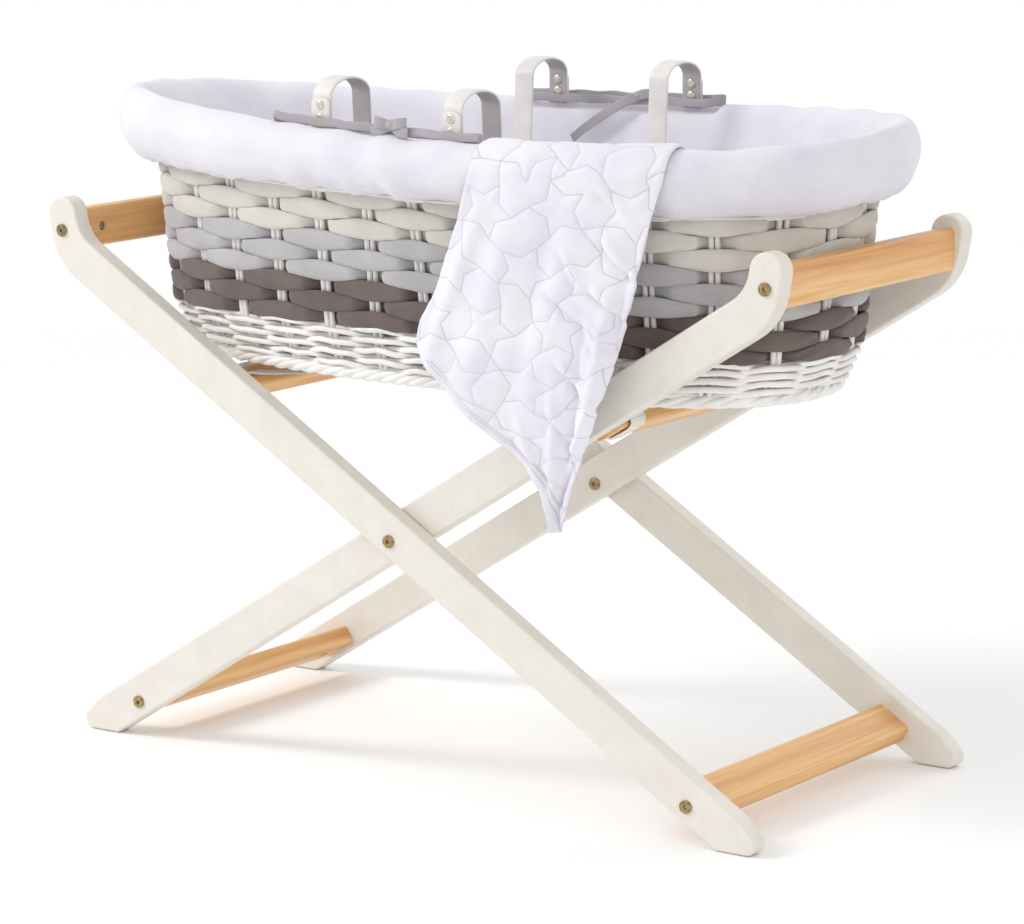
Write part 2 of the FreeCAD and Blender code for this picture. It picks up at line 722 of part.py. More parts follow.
def turns_at(places, level):
    """The turns of a level line at shares of its length."""
    steps = 2000
    turns = [2 * math.pi * number / steps for number in range(steps + 1)]
    points = [outline_point(level, turn) for turn in turns]
    reached = [0.0]
    for first, second in zip(points, points[1:]):
        reached.append(reached[-1] + first.distanceToPoint(second))
    found = []
    for place in places:
        target = reached[-1] * (place % 1.0)
        found.append(turns[min(range(steps + 1), key=lambda at: abs(reached[at] - target))])
    return found


def weave_depth():
    """From the basket's outer surface to the liner: a weaver row, a cane and a little room."""
    return dim("row_thick") + 2 * dim("cane_radius") + dim("liner_gap")


# the padded roll's face: out from the crest's half length and half width, the power of the
# level line, and the height above the weaver rows' top or above the crest
SKIRT_POINTS = (
    (-10.0, 5.0, 2.5, -6.0),
    (4.0, 17.0, 2.45, 8.0),
)
ROLL_POINTS = (
    (12.6, 25.0, 2.45, -20.0),
    (9.0, 16.0, 2.42, -6.0),
    (0.0, 0.0, CREST_POWER, 0.0),
    (-13.0, -11.0, 2.42, -5.0),
    (-26.0, -17.0, 2.45, -17.0),
)
WIDEST_LEVEL = 2


def liner_face():
    """The liner's visible face, from the skirt's hem over the rim and down inside."""
    band = dim("band_height")
    top = band + dim("row_count") * dim("row_pitch")
    length = dim("crest_half_length")
    width = dim("crest_half_width")
    levels = []
    for points, height in ((SKIRT_POINTS, top), (ROLL_POINTS, dim("crest_height"))):
        for out_along, out_across, power, up in points:
            levels.append((length + out_along, width + out_across, power, height + up))
    depth = weave_depth() + dim("liner_thick")
    inside = wall_level(top, depth)
    out = dim("roll_foot_out")
    above = (inside[0] + out, inside[1] + out, WALL_POWER, top + dim("roll_face_lift"))
    return levels + [above, inside, wall_level(band, depth)]


def liner():
    """The fabric liner: inside wall, padded roll over the rim and hanging skirt."""
    cloth = dim("liner_thick")
    low = dim("foot_height") + dim("liner_lift")
    band = dim("band_height")
    top = band + dim("row_count") * dim("row_pitch")
    depth = weave_depth()
    face = liner_face()
    hem = face[0]
    skirt = face[WIDEST_LEVEL]
    inside = wall_level(top, depth)
    out = dim("roll_foot_out")
    padding = dim("roll_padding")
    hem_thick = dim("hem_thick")
    back = [
        wall_level(low, depth + cloth),
        wall_level(low, depth),
        wall_level(band, depth),
        inside,
        (inside[0] + out, inside[1] + out, WALL_POWER, top + dim("roll_foot_lift")),
        (skirt[0] - padding, skirt[1] - padding, skirt[2], skirt[3] + dim("roll_padding_lift")),
        (hem[0] - hem_thick, hem[1] - hem_thick, hem[2], hem[3]),
    ]
    return ring(face + back)


def mattress():
    """The foam mattress on the woven base."""
    height = dim("foot_height") + dim("base_lift") + dim("base_thick") + dim("mattress_gap")
    level = (dim("mattress_half_length"), dim("mattress_half_width"), WALL_POWER, height)
    return slab(level, dim("mattress_thick"))


def crest_share(along):
    """How wide the rim's crest is at a place along the basket, as a share of its half width."""
    share = abs(along) / dim("crest_half_length")
    return (1 - share ** CREST_POWER) ** (1 / CREST_POWER)


# where the bias bindings start and end along the basket
NEAR_BINDING = (-132.0, 112.0)
FAR_BINDING = (-122.0, 130.0)


def binding(side):
    """Bias binding that stands on the crest along one handle slot."""
    length = dim("crest_half_length")
    outer = dim("crest_half_width") + dim("binding_out")
    inner = outer - dim("binding_thick")
    low = dim("crest_height") + dim("binding_gap")
    high = low + dim("binding_height")
    strip = ring([
        (length, outer, CREST_POWER, low),
        (length, outer, CREST_POWER, high),
        (length, inner, CREST_POWER, high),
        (length, inner, CREST_POWER, low),
    ])
    start, end = NEAR_BINDING if side < 0 else FAR_BINDING
    near_edge = 0.0 if side > 0 else -2 * outer
    window = Part.makeBox(end - start, 2 * outer, 2 * high, Vector(start, near_edge, 0))
    return strip.common(window).Solids[0]


def yz_band(points, thick):
    """A flat strip in the YZ plane that follows points, as a face of the given thickness."""
    left = []
    right = []
    for number, point in enumerate(points):
        before = points[max(number - 1, 0)]
        after = points[min(number + 1, len(points) - 1)]
        run = Vector(0, after[0] - before[0], after[1] - before[1]).normalize()
        normal = Vector(0, -run.z, run.y) * (thick / 2)
        middle = Vector(0, *point)
        left.append(middle + normal)
        right.append(middle - normal)
    corners = left + right[::-1]
    return Part.Face(Part.makePolygon(corners + corners[:1]))


def handle_arm_points(side, rim_lift):
    """One arm of a handle from its tab over the arch and down inside the basket."""
    foot = dim("crest_height") + dim("tab_gap") + rim_lift
    out = dim("crest_half_width") - dim("handle_inset")
    reach = dim("handle_reach")
    arch = dim("handle_arch")
    spring = dim("handle_top") + rim_lift - arch
    middle = out - reach / 2
    points = [(side * out, foot)]
    steps = 9
    for step in range(steps + 1):
        turn = math.pi * step / steps
        points.append((side * (middle + reach / 2 * math.cos(turn)),
                       spring + arch * math.sin(turn)))
    end = out - reach - dim("handle_lean")
    points.append((side * end, dim("handle_foot") + dim("handle_width") / 2))
    return points


def rim_lift_at(along, side):
    """How far the crest is lifted at a place along the basket, on the near or far side."""
    share = along / dim("crest_half_length")
    return rise(dim("crest_height"), share, side * crest_share(along))


def handle(word, side):
    """A carrying handle: two arms and the middle stretch that hangs inside the basket."""
    width = dim("handle_width")
    thick = dim("handle_thick")
    arms = []
    for end in ("left", "right"):
        at = dim(f"{word}_handle_{end}")
        points = handle_arm_points(side, rim_lift_at(at, side))
        arm = yz_band(points, thick).extrude(Vector(width, 0, 0))
        arm.translate(Vector(at - width / 2, 0, 0))
        arms.append(arm)
    left = dim(f"{word}_handle_left") - width / 2
    right = dim(f"{word}_handle_right") + width / 2
    out = dim("crest_half_width") - dim("handle_inset") - dim("handle_reach")
    out -= dim("handle_lean")
    middle = Part.makeBox(right - left, thick, width,
                          Vector(left, side * out - thick / 2, dim("handle_foot")))
    solid = arms[0].fuse([arms[1], middle]).removeSplitter()
    strap_line = dim("crest_half_width") - dim("handle_inset")
    for at, height in rivet_places(word, side):
        start = Vector(at, side * (strap_line - thick), height)
        hole = Part.makeCylinder(dim("rivet_pin_radius") + dim("bearing_gap"), 2 * thick, start,
                                 Vector(0, side, 0))
        solid = solid.cut(hole)
    return solid.Solids[0]


def rivet_places(word, side):
    """Two rivets at each end of a handle, as places along the basket and heights."""
    places = []
    for end in ("left", "right"):
        at = dim(f"{word}_handle_{end}")
        foot = dim("crest_height") + rim_lift_at(at, side)
        places.append((at, foot + dim("rivet_low")))
        places.append((at, foot + dim("rivet_high")))
    return places


def tabs_and_rivets(word, side):
    """The doubled strap ends outside the handle and the rivets through both."""
    width = dim("handle_width")
    thick = dim("handle_thick")
    gap = dim("bearing_gap")
    strap_face = dim("crest_half_width") - dim("handle_inset") + thick / 2
    tab_thick = dim("tab_thick")
    plates = []
    for end in ("left", "right"):
        at = dim(f"{word}_handle_{end}")
        foot = dim("crest_height") + dim("tab_gap") + rim_lift_at(at, side)
        corner = Vector(at - width / 2, strap_face + gap, foot)
        plate = Part.makeBox(width, tab_thick, dim("tab_height"), corner)
        if side < 0:
            plate = plate.mirror(Vector(0, 0, 0), Vector(0, 1, 0))
        plates.append(plate)
    rivets = []
    for at, height in rivet_places(word, side):
        outer = strap_face + gap + tab_thick
        inner = strap_face - thick - gap
        burr_thick = dim("rivet_burr_thick")
        head = Part.makeCylinder(dim("rivet_radius"), dim("rivet_head_thick"),
                                 Vector(at, outer, height), Vector(0, 1, 0))
        pin = Part.makeCylinder(dim("rivet_pin_radius"), outer - inner,
                                Vector(at, inner, height), Vector(0, 1, 0))
        burr = Part.makeCylinder(dim("rivet_radius"), burr_thick,
                                 Vector(at, inner - burr_thick, height), Vector(0, 1, 0))
        rivet = head.fuse([pin, burr])
        hole = Part.makeCylinder(dim("rivet_pin_radius"), outer - inner,
                                 Vector(at, inner, height), Vector(0, 1, 0))
        if side < 0:
            rivet = rivet.mirror(Vector(0, 0, 0), Vector(0, 1, 0))
            hole = hole.mirror(Vector(0, 0, 0), Vector(0, 1, 0))
        plates = [plate.cut(hole) for plate in plates]
        rivets.append(rivet.Solids[0])
    shape_part(f"{word}_handle_tabs", Part.makeCompound([plate.Solids[0] for plate in plates]))
    shape_part(f"{word}_rivets", Part.makeCompound(rivets))


def webbing_strap(word, side):
    """A webbing strap on both support rails: its run under the basket and its end wraps."""
    thick = dim("strap_thick")
    gap = dim("bearing_gap")
    angle = math.radians(dim("leg_angle"))
    half_width = dim("support_rail_width") / 2
    half_thick = dim("support_rail_thick") / 2
    out = thick / 2 + gap
    bend = dim("strap_bend")
    middle = Vector(0, 0, dim("pivot_height")) + support_rail_middle(1)

    def rail_point(reach, up):
        return (
            middle.x + reach * math.cos(angle) - up * math.sin(angle),
            middle.z + reach * math.sin(angle) + up * math.cos(angle),
        )

    wrap = [
        rail_point(-half_width + dim("strap_lap"), -half_thick - out),
        rail_point(half_width - bend, -half_thick - out),
        rail_point(half_width + out, -half_thick + bend),
        rail_point(half_width + out, half_thick - bend),
        rail_point(half_width - bend, half_thick + out),
        rail_point(0, half_thick + out),
    ]
    sag = dim("foot_height") - gap - thick
    run = [(dim("strap_level_reach"), sag + 1.0), (dim("strap_sag_reach"), sag)]
    right = wrap + run
    left = [(-along, up) for along, up in reversed(right)]
    face = yz_band(right + left, thick)
    face.rotate(Vector(0, 0, 0), Vector(0, 0, 1), -90)
    strap = face.extrude(Vector(0, dim("strap_width"), 0))
    strap.translate(Vector(0, side * dim("strap_place") - dim("strap_width") / 2, 0))
    return strap


# the hanging part's outline, as places along the basket and heights, and where it is cut
COVERLET_OUTLINE = [(130, 600), (128, 625), (60, 444), (209, 281), (250, 373), (300, 520),
                    (318, 600)]
COVERLET_PLACES = (130, 180, 230, 275, 318)


def coverlet():
    """The quilted coverlet: a panel outside the rim, a stretch over it and a panel inside."""
    thick = dim("coverlet_thick")
    gap = dim("coverlet_gap")
    length, width, power, widest = liner_face()[WIDEST_LEVEL]
    low = min(height for _, height in COVERLET_OUTLINE)
    high = widest
    outer_level = (length + gap + thick, width + gap + thick, power, low)
    inner_level = (length + gap, width + gap, power, low)
    shell = Part.Face(outline(outer_level, flat=True))
    shell = shell.cut(Part.Face(outline(inner_level, flat=True)))
    shell = shell.extrude(Vector(0, 0, high - low))
    corners = [Vector(along, -2 * width, height) for along, height in COVERLET_OUTLINE]
    prism = Part.Face(Part.makePolygon(corners + corners[:1])).extrude(Vector(0, 2 * width, 0))
    hanging = shell.common(prism)
    sections = [coverlet_section(along) for along in COVERLET_PLACES]
    over = Part.makeLoft(sections, True, True)
    return hanging.fuse(over).removeSplitter().Solids[0]


def coverlet_section(along):
    """A cut across the coverlet where it lies over the near rim."""
    path = []
    for half_length, half_width, power, height in liner_face()[WIDEST_LEVEL:]:
        share = along / half_length
        across = (1 - share ** power) ** (1 / power)
        path.append((-half_width * across, height + rise(height, share, -across)))
    path = path[:-1] + [(path[-1][0], path[-1][1] + dim("coverlet_tuck"))]
    path = [(path[0][0], path[0][1] - dim("coverlet_overlap"))] + path
    turn = dim("crest_half_width") * (crest_share(along + 0.5) - crest_share(along - 0.5))
    slope = math.hypot(1, turn)
    near = dim("coverlet_gap") * slope
    far = (dim("coverlet_gap") + dim("coverlet_thick")) * slope
    corners = offset_path(path, near) + offset_path(path, far)[::-1]
    corners = [Vector(along, *point) for point in corners]
    return Part.makePolygon(corners + corners[:1])


def offset_path(path, out):
    """A path in the YZ plane moved sideways, away from the basket."""
    moved = []
    for number, point in enumerate(path):
        before = path[max(number - 1, 0)]
        after = path[min(number + 1, len(path) - 1)]
        run = Vector(0, after[0] - before[0], after[1] - before[1]).normalize()
        moved.append((point[0] - run.z * out, point[1] + run.y * out))
    return moved


# blocks of the ties, as sizes and middles from each tie's own middle
BOW_BLOCKS = (
    ((12, 6, 9), (0, 0, 0)),
    ((24, 4, 9), (-17, 0, 1.5)),
    ((24, 4, 9), (17, 0, 1.5)),
    ((26, 3, 7), (-18, -0.5, -3.5)),
    ((26, 3, 7), (18, -0.5, -3.5)),
)
RIBBON_BLOCKS = (
    ((40, 5, 9), (0, 0, 0)),
    ((62, 4, 9), (-31, -4, -1.5)),
)


def tie(blocks, at):
    """A tied ribbon, as one solid that keeps the room of its knot, loops and tails."""
    pieces = []
    for size, middle in blocks:
        corner = at + Vector(*middle) - Vector(*size) / 2
        pieces.append(Part.makeBox(*size, corner))
    return pieces[0].fuse(pieces[1:]).removeSplitter().Solids[0]


def basket():
    """Everything that is carried with the basket, and the webbing it rests near."""
    basket_weave()
    shape_part("liner", liner())
    shape_part("mattress", mattress())
    for word, side in (("near", -1), ("far", 1)):
        shape_part(f"{word}_binding", binding(side))
        shape_part(f"{word}_handle_strap", handle(word, side))
        tabs_and_rivets(word, side)
        shape_part(f"{word}_webbing_strap", webbing_strap(word, side))
    width = dim("crest_half_width")
    height = dim("crest_height")
    shape_part("near_bow", tie(BOW_BLOCKS, Vector(14, -width - 4.5, height + 10)))
    shape_part("far_ribbon", tie(RIBBON_BLOCKS, Vector(12, width - 12, height + 8)))
    shape_part("coverlet", coverlet())


def check_and_write():
    doc.recompute()
    broken = [thing.Label for thing in doc.Objects
              if "Invalid" in thing.State or "Error" in thing.State]
    if broken:
        raise RuntimeError(f"failed features: {broken}")
    os.makedirs("parts", exist_ok=True)
    for label, thing in nodes.items():
        shape = thing.Shape
        if shape.isNull() or not shape.isValid():
            raise RuntimeError(f"{label}: no valid shape")
        box = shape.BoundBox
        print(f"{label}: {len(shape.Solids)} solids, {shape.Volume / 1000:.1f} cm3, "
              f"x {box.XMin:.1f} {box.XMax:.1f}, y {box.YMin:.1f} {box.YMax:.1f}, "
              f"z {box.ZMin:.1f} {box.ZMax:.1f}")
        shape.exportStep(f"parts/{label}.step")
    print(len(nodes), "sub-parts")


frame("outer", -1)
frame("inner", 1)
pivots()
basket()
check_and_write()
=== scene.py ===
"""Moses basket on a folding stand: the detailed visual model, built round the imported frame.

Lengths are in millimetres here and become metres when a mesh is made. The basket's pieces
are placed in wall coordinates: the number of a cane pair, a height and a depth inwards.
"""
import math

import bpy
import numpy as np
from mathutils import Matrix, Vector


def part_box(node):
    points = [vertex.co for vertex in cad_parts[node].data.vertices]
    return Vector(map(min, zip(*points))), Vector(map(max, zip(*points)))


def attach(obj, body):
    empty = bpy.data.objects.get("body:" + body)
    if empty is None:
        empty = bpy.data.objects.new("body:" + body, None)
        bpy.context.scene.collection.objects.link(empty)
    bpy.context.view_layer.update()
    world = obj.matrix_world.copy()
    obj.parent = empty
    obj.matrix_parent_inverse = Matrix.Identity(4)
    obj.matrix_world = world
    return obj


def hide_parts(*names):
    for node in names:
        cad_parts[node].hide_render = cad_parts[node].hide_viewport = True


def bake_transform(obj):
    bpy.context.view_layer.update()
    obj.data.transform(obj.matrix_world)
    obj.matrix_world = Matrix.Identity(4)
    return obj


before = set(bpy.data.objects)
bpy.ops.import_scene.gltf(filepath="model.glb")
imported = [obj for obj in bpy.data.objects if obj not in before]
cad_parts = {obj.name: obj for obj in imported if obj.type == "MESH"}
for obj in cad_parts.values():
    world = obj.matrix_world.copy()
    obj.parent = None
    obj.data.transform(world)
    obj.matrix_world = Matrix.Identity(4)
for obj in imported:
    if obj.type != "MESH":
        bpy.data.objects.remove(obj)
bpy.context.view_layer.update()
MM = 0.001


# --- camera, light and floor ---

CAMERA_AZIMUTH = 35.347
CAMERA_ELEVATION = 10.536
CAMERA_ROLL = -0.311
CAMERA_SHIFT = (2.68, 285.4, 3923.9)
CAMERA_LENS = 138.26


def add_camera():
    azimuth = math.radians(CAMERA_AZIMUTH)
    elevation = math.radians(CAMERA_ELEVATION)
    roll = Matrix.Rotation(math.radians(-CAMERA_ROLL), 3, "Z")
    back = Vector((math.sin(azimuth) * math.cos(elevation),
                   -math.cos(azimuth) * math.cos(elevation), math.sin(elevation)))
    right = Vector((math.cos(azimuth), math.sin(azimuth), 0))
    up = back.cross(right)
    axes = roll @ Matrix((right, up, back))
    data = bpy.data.cameras.new("camera")
    data.lens = CAMERA_LENS
    data.clip_end = 50
    camera = bpy.data.objects.new("camera", data)
    place = axes.transposed() @ (Vector(CAMERA_SHIFT) * MM)
    camera.matrix_world = Matrix.Translation(place) @ axes.transposed().to_4x4()
    bpy.context.scene.collection.objects.link(camera)
    bpy.context.scene.camera = camera


# name, place (m), aim (m), size (m), power (W)
LIGHTS = (
    ("key", (-2.6, -1.9, 2.7), (0, 0, 0.4), 1.2, 62.0),
    ("fill", (2.6, -2.0, 1.2), (0, 0, 0.4), 2.4, 9.0),
    ("rear", (0.6, 3.0, 2.6), (0, 0, 0.5), 2.6, 16.0),
)


def add_lights():
    for name, place, aim, size, power in LIGHTS:
        data = bpy.data.lights.new(name, "AREA")
        data.size = size
        data.energy = power
        light = bpy.data.objects.new(name, data)
        light.location = place
        light.rotation_euler = (Vector(aim) - Vector(place)).to_track_quat("-Z", "Y").to_euler()
        bpy.context.scene.collection.objects.link(light)
    bpy.context.scene.view_settings.view_transform = "Standard"


WORLD_LIGHT = 0.84


def add_world():
    """Even light from all round, behind which the backdrop itself is seen pure white."""
    world = bpy.data.worlds.new("world")
    world.use_nodes = True
    tree = world.node_tree
    background = tree.nodes["Background"]
    background.inputs["Color"].default_value = (1.0, 1.0, 1.0, 1.0)
    path = tree.nodes.new("ShaderNodeLightPath")
    strength = tree.nodes.new("ShaderNodeMapRange")
    strength.inputs["To Min"].default_value = WORLD_LIGHT
    strength.inputs["To Max"].default_value = 1.0
    tree.links.new(path.outputs["Is Camera Ray"], strength.inputs["Value"])
    tree.links.new(strength.outputs["Result"], background.inputs["Strength"])
    bpy.context.scene.world = world


# --- meshes ---

class Soup:
    """Points, faces and texture places gathered for one mesh."""

    def __init__(self):
        self.points = []
        self.faces = []
        self.places = []
        self.count = 0

    def grid(self, points, closed=(False, False), capped=False):
        """A grid of points as faces. Texture places are distances along the grid, in metres."""
        rows, columns = points.shape[:2]
        last_row = rows if closed[0] else rows - 1
        last_column = columns if closed[1] else columns - 1
        first, second = np.meshgrid(np.arange(last_row), np.arange(last_column), indexing="ij")
        along = step_lengths(points, 0)
        across = step_lengths(points, 1)
        faces = []
        places = []
        for a, b in ((0, 0), (1, 0), (1, 1), (0, 1)):
            faces.append((first + a) % rows * columns + (second + b) % columns)
            places.append(np.stack([along[first + a], across[second + b]], -1))
        self.points.append(points.reshape(-1, 3))
        self.faces += (np.stack(faces, -1).reshape(-1, 4) + self.count).tolist()
        self.places.append(np.stack(places, -2).reshape(-1, 2) * MM)
        if capped:
            for row, turn in ((0, 1), (rows - 1, -1)):
                ring = list(range(self.count + row * columns, self.count + (row + 1) * columns))
                self.faces.append(ring[::turn])
                self.places.append(np.zeros((columns, 2)))
        self.count += rows * columns

    def rod(self, path, radius, sides, closed=False, up=(0.0, 0.0, 1.0)):
        """A round rod along a path."""
        self.grid(tube(path, radius, sides, closed, up), (closed, True), not closed)

    def band(self, path, wide, width, thick, closed=False, sides=12):
        """A flat strip along a path; wide is the direction of its width."""
        self.grid(strip(path, wide, width, thick, closed, sides), (closed, True), not closed)

    def piece(self, name, slot, replaced=None, body="basket", fill=None):
        """The mesh as an object, which stands for a CAD node; fill is not used."""
        mesh = bpy.data.meshes.new(name)
        mesh.from_pydata((np.concatenate(self.points) * MM).tolist(), [], self.faces)
        layer = mesh.uv_layers.new(name="UVMap")
        layer.data.foreach_set("uv", np.concatenate(self.places).ravel())
        mesh.shade_smooth()
        thing = bpy.data.objects.new(name, mesh)
        bpy.context.scene.collection.objects.link(thing)
        mesh.materials.append(LOOKS[slot or name])
        if body:
            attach(thing, body)
        if replaced:
            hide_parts(replaced)
        return thing


def box(node):
    """A CAD node's low and high corners, in millimetres."""
    return [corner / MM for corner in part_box(node)]


def step_lengths(points, axis):
    """Distances along one direction of a grid, with one more step for a closed one."""
    steps = np.linalg.norm(points - np.roll(points, -1, axis), axis=-1).mean(1 - axis)
    return np.concatenate([[0.0], np.cumsum(steps)])


def unit(vectors):
    return vectors / np.maximum(np.linalg.norm(vectors, axis=-1, keepdims=True), 1e-9)


def tangents(path, closed):
    if closed:
        return unit(np.roll(path, -1, 0) - np.roll(path, 1, 0))
    return unit(np.gradient(path, axis=0))


def tube(path, radius, sides, closed=False, up=(0.0, 0.0, 1.0)):
    """Rings of points round a path. radius is one number or one for each point."""
    run = tangents(path, closed)
    aside = unit(np.cross(run, np.array(up)))
    over = np.cross(aside, run)
    turn = 2 * np.pi * np.arange(sides) / sides
    radius = np.broadcast_to(radius, len(path))[:, None, None]
    ring = (np.cos(turn)[None, :, None] * aside[:, None, :]
            + np.sin(turn)[None, :, None] * over[:, None, :])
    return path[:, None, :] + radius * ring


def strip(path, wide, width, thick, closed=False, sides=12):
    """Rings of points of a flat strip. wide is the direction of its width at each point."""
    run = tangents(path, closed)
    wide = np.broadcast_to(np.array(wide, float), path.shape)
    face = unit(np.cross(run, wide))
    wide = unit(np.cross(face, run))
    turn = 2 * np.pi * np.arange(sides) / sides
    power = 0.45
    across = np.sign(np.cos(turn)) * np.abs(np.cos(turn)) ** power * width / 2
    out = np.sign(np.sin(turn)) * np.abs(np.sin(turn)) ** power * thick / 2
    return (path[:, None, :] + across[None, :, None] * wide[:, None, :]
            + out[None, :, None] * face[:, None, :])


def smooth_step(value, low, high):
    share = np.clip((value - low) / (high - low), 0, 1)
    return share * share * (3 - 2 * share)


def waves(place, seed, longest, shortest, count=7):
    """A smooth random line: a sum of sines of place, between -1 and 1, with period 1."""
    random = np.random.RandomState(seed)
    total = np.zeros(np.shape(place))
    weight = 0.0
    for number in range(count):
        cycles = round(longest + (shortest - longest) * number / max(count - 1, 1))
        cycles = max(1, cycles + random.randint(-1, 2))
        strength = 0.5 + random.rand()
        total = total + strength * np.sin(2 * np.pi * (cycles * place + random.rand()))
        weight += strength
    return total / weight * 1.6


def spline(a, b, c, d, share):
    """The Catmull-Rom value between b and c."""
    return 0.5 * (2 * b + (c - a) * share + (2 * a - 5 * b + 4 * c - d) * share ** 2
                  + (3 * b - a - 3 * c + d) * share ** 3)


def smooth_path(corners, count):
    """A Catmull-Rom line through corners, at even steps of its length."""
    corners = np.array(corners, float)
    padded = np.vstack([2 * corners[0] - corners[1], corners, 2 * corners[-1] - corners[-2]])
    share = np.linspace(0, 1, 24, endpoint=False)[:, None]
    pieces = [spline(*padded[number:number + 4], share) for number in range(len(corners) - 1)]
    line = np.vstack(pieces + [corners[-1:]])
    reached = np.concatenate([[0], np.cumsum(np.linalg.norm(np.diff(line, axis=0), axis=1))])
    wanted = np.linspace(0, reached[-1], count)
    return np.stack([np.interp(wanted, reached, line[:, axis])
                     for axis in range(line.shape[1])], -1)


# --- the basket's surfaces ---

# level lines of the outer surface: height, half length, half width and power
WALL = np.array([
    (388.3, 361.0, 166.5, 2.4),
    (440.0, 378.0, 170.5, 2.6),
    (573.65, 390.0, 191.5, 2.5),
])
# height, how much higher the ends are there, and the share of the rim's tilt and twist
RISES = np.array([
    (400.0, 0.0, 0.2),
    (440.0, -9.0, 0.4),
    (506.0, -9.0, 0.6),
    (573.0, 1.0, 0.7),
    (630.0, 13.6, 1.0),
])
RIM_TILT = -4.3
RIM_TWIST = 10.9
ROW_FOOT = 440.0
ROW_PITCH = 14.85
ROW_COUNT = 9
PAIRS = 32
PAIR_PHASE = 0.456
PAIR_CROWDING = 0.0071
PAIR_WIDEST = 0.795


def rise(height, along, across):
    ends = np.interp(height, RISES[:, 0], RISES[:, 1]) * along ** 2
    twist = np.interp(height, RISES[:, 0], RISES[:, 2])
    return ends + twist * (RIM_TILT * along + RIM_TWIST * along * across)


def level_point(half_length, half_width, power, height, turn):
    cosine = np.cos(turn)
    sine = np.sin(turn)
    along = np.sign(cosine) * np.abs(cosine) ** (2 / power)
    across = np.sign(sine) * np.abs(sine) ** (2 / power)
    lift = rise(height, along, across)
    return np.stack(np.broadcast_arrays(half_length * along, half_width * across,
                                        height + lift), -1)


def wall_sizes(height):
    return [np.interp(height, WALL[:, 0], WALL[:, column]) for column in (1, 2, 3)]


def make_turn_table():
    """Turns of the level line at the weaver rows' foot, against shares of its length."""
    turn = np.linspace(0, 2 * np.pi, 8001)
    length, width, power = wall_sizes(ROW_FOOT)
    points = level_point(length, width, power, ROW_FOOT, turn)
    reached = np.concatenate([[0], np.cumsum(np.linalg.norm(np.diff(points, axis=0), axis=1))])
    return reached / reached[-1], turn


TURN_TABLE = make_turn_table()


def turn_at(share):
    whole = np.floor(share)
    return np.interp(share - whole, *TURN_TABLE) + 2 * np.pi * whole


def pair_share(pair):
    """The share of the outline at a cane pair; pair may lie between two of them."""
    even = (pair + PAIR_PHASE) / PAIRS
    return even + PAIR_CROWDING * np.sin(2 * np.pi * (even - PAIR_WIDEST))


def wall_point(pair, height, depth):
    """A point in wall coordinates: cane pair, height and depth inside the outer surface."""
    length, width, power = wall_sizes(height)
    return level_point(length - depth, width - depth, power, height, turn_at(pair_share(pair)))


# --- materials ---

def srgb(*values):
    """A colour given as 0 to 255, as the shader wants it."""
    shares = [value / 255 for value in values]
    linear = [s / 12.92 if s <= 0.04045 else ((s + 0.055) / 1.055) ** 2.4 for s in shares]
    return (*linear, 1.0)


LOOKS = {}


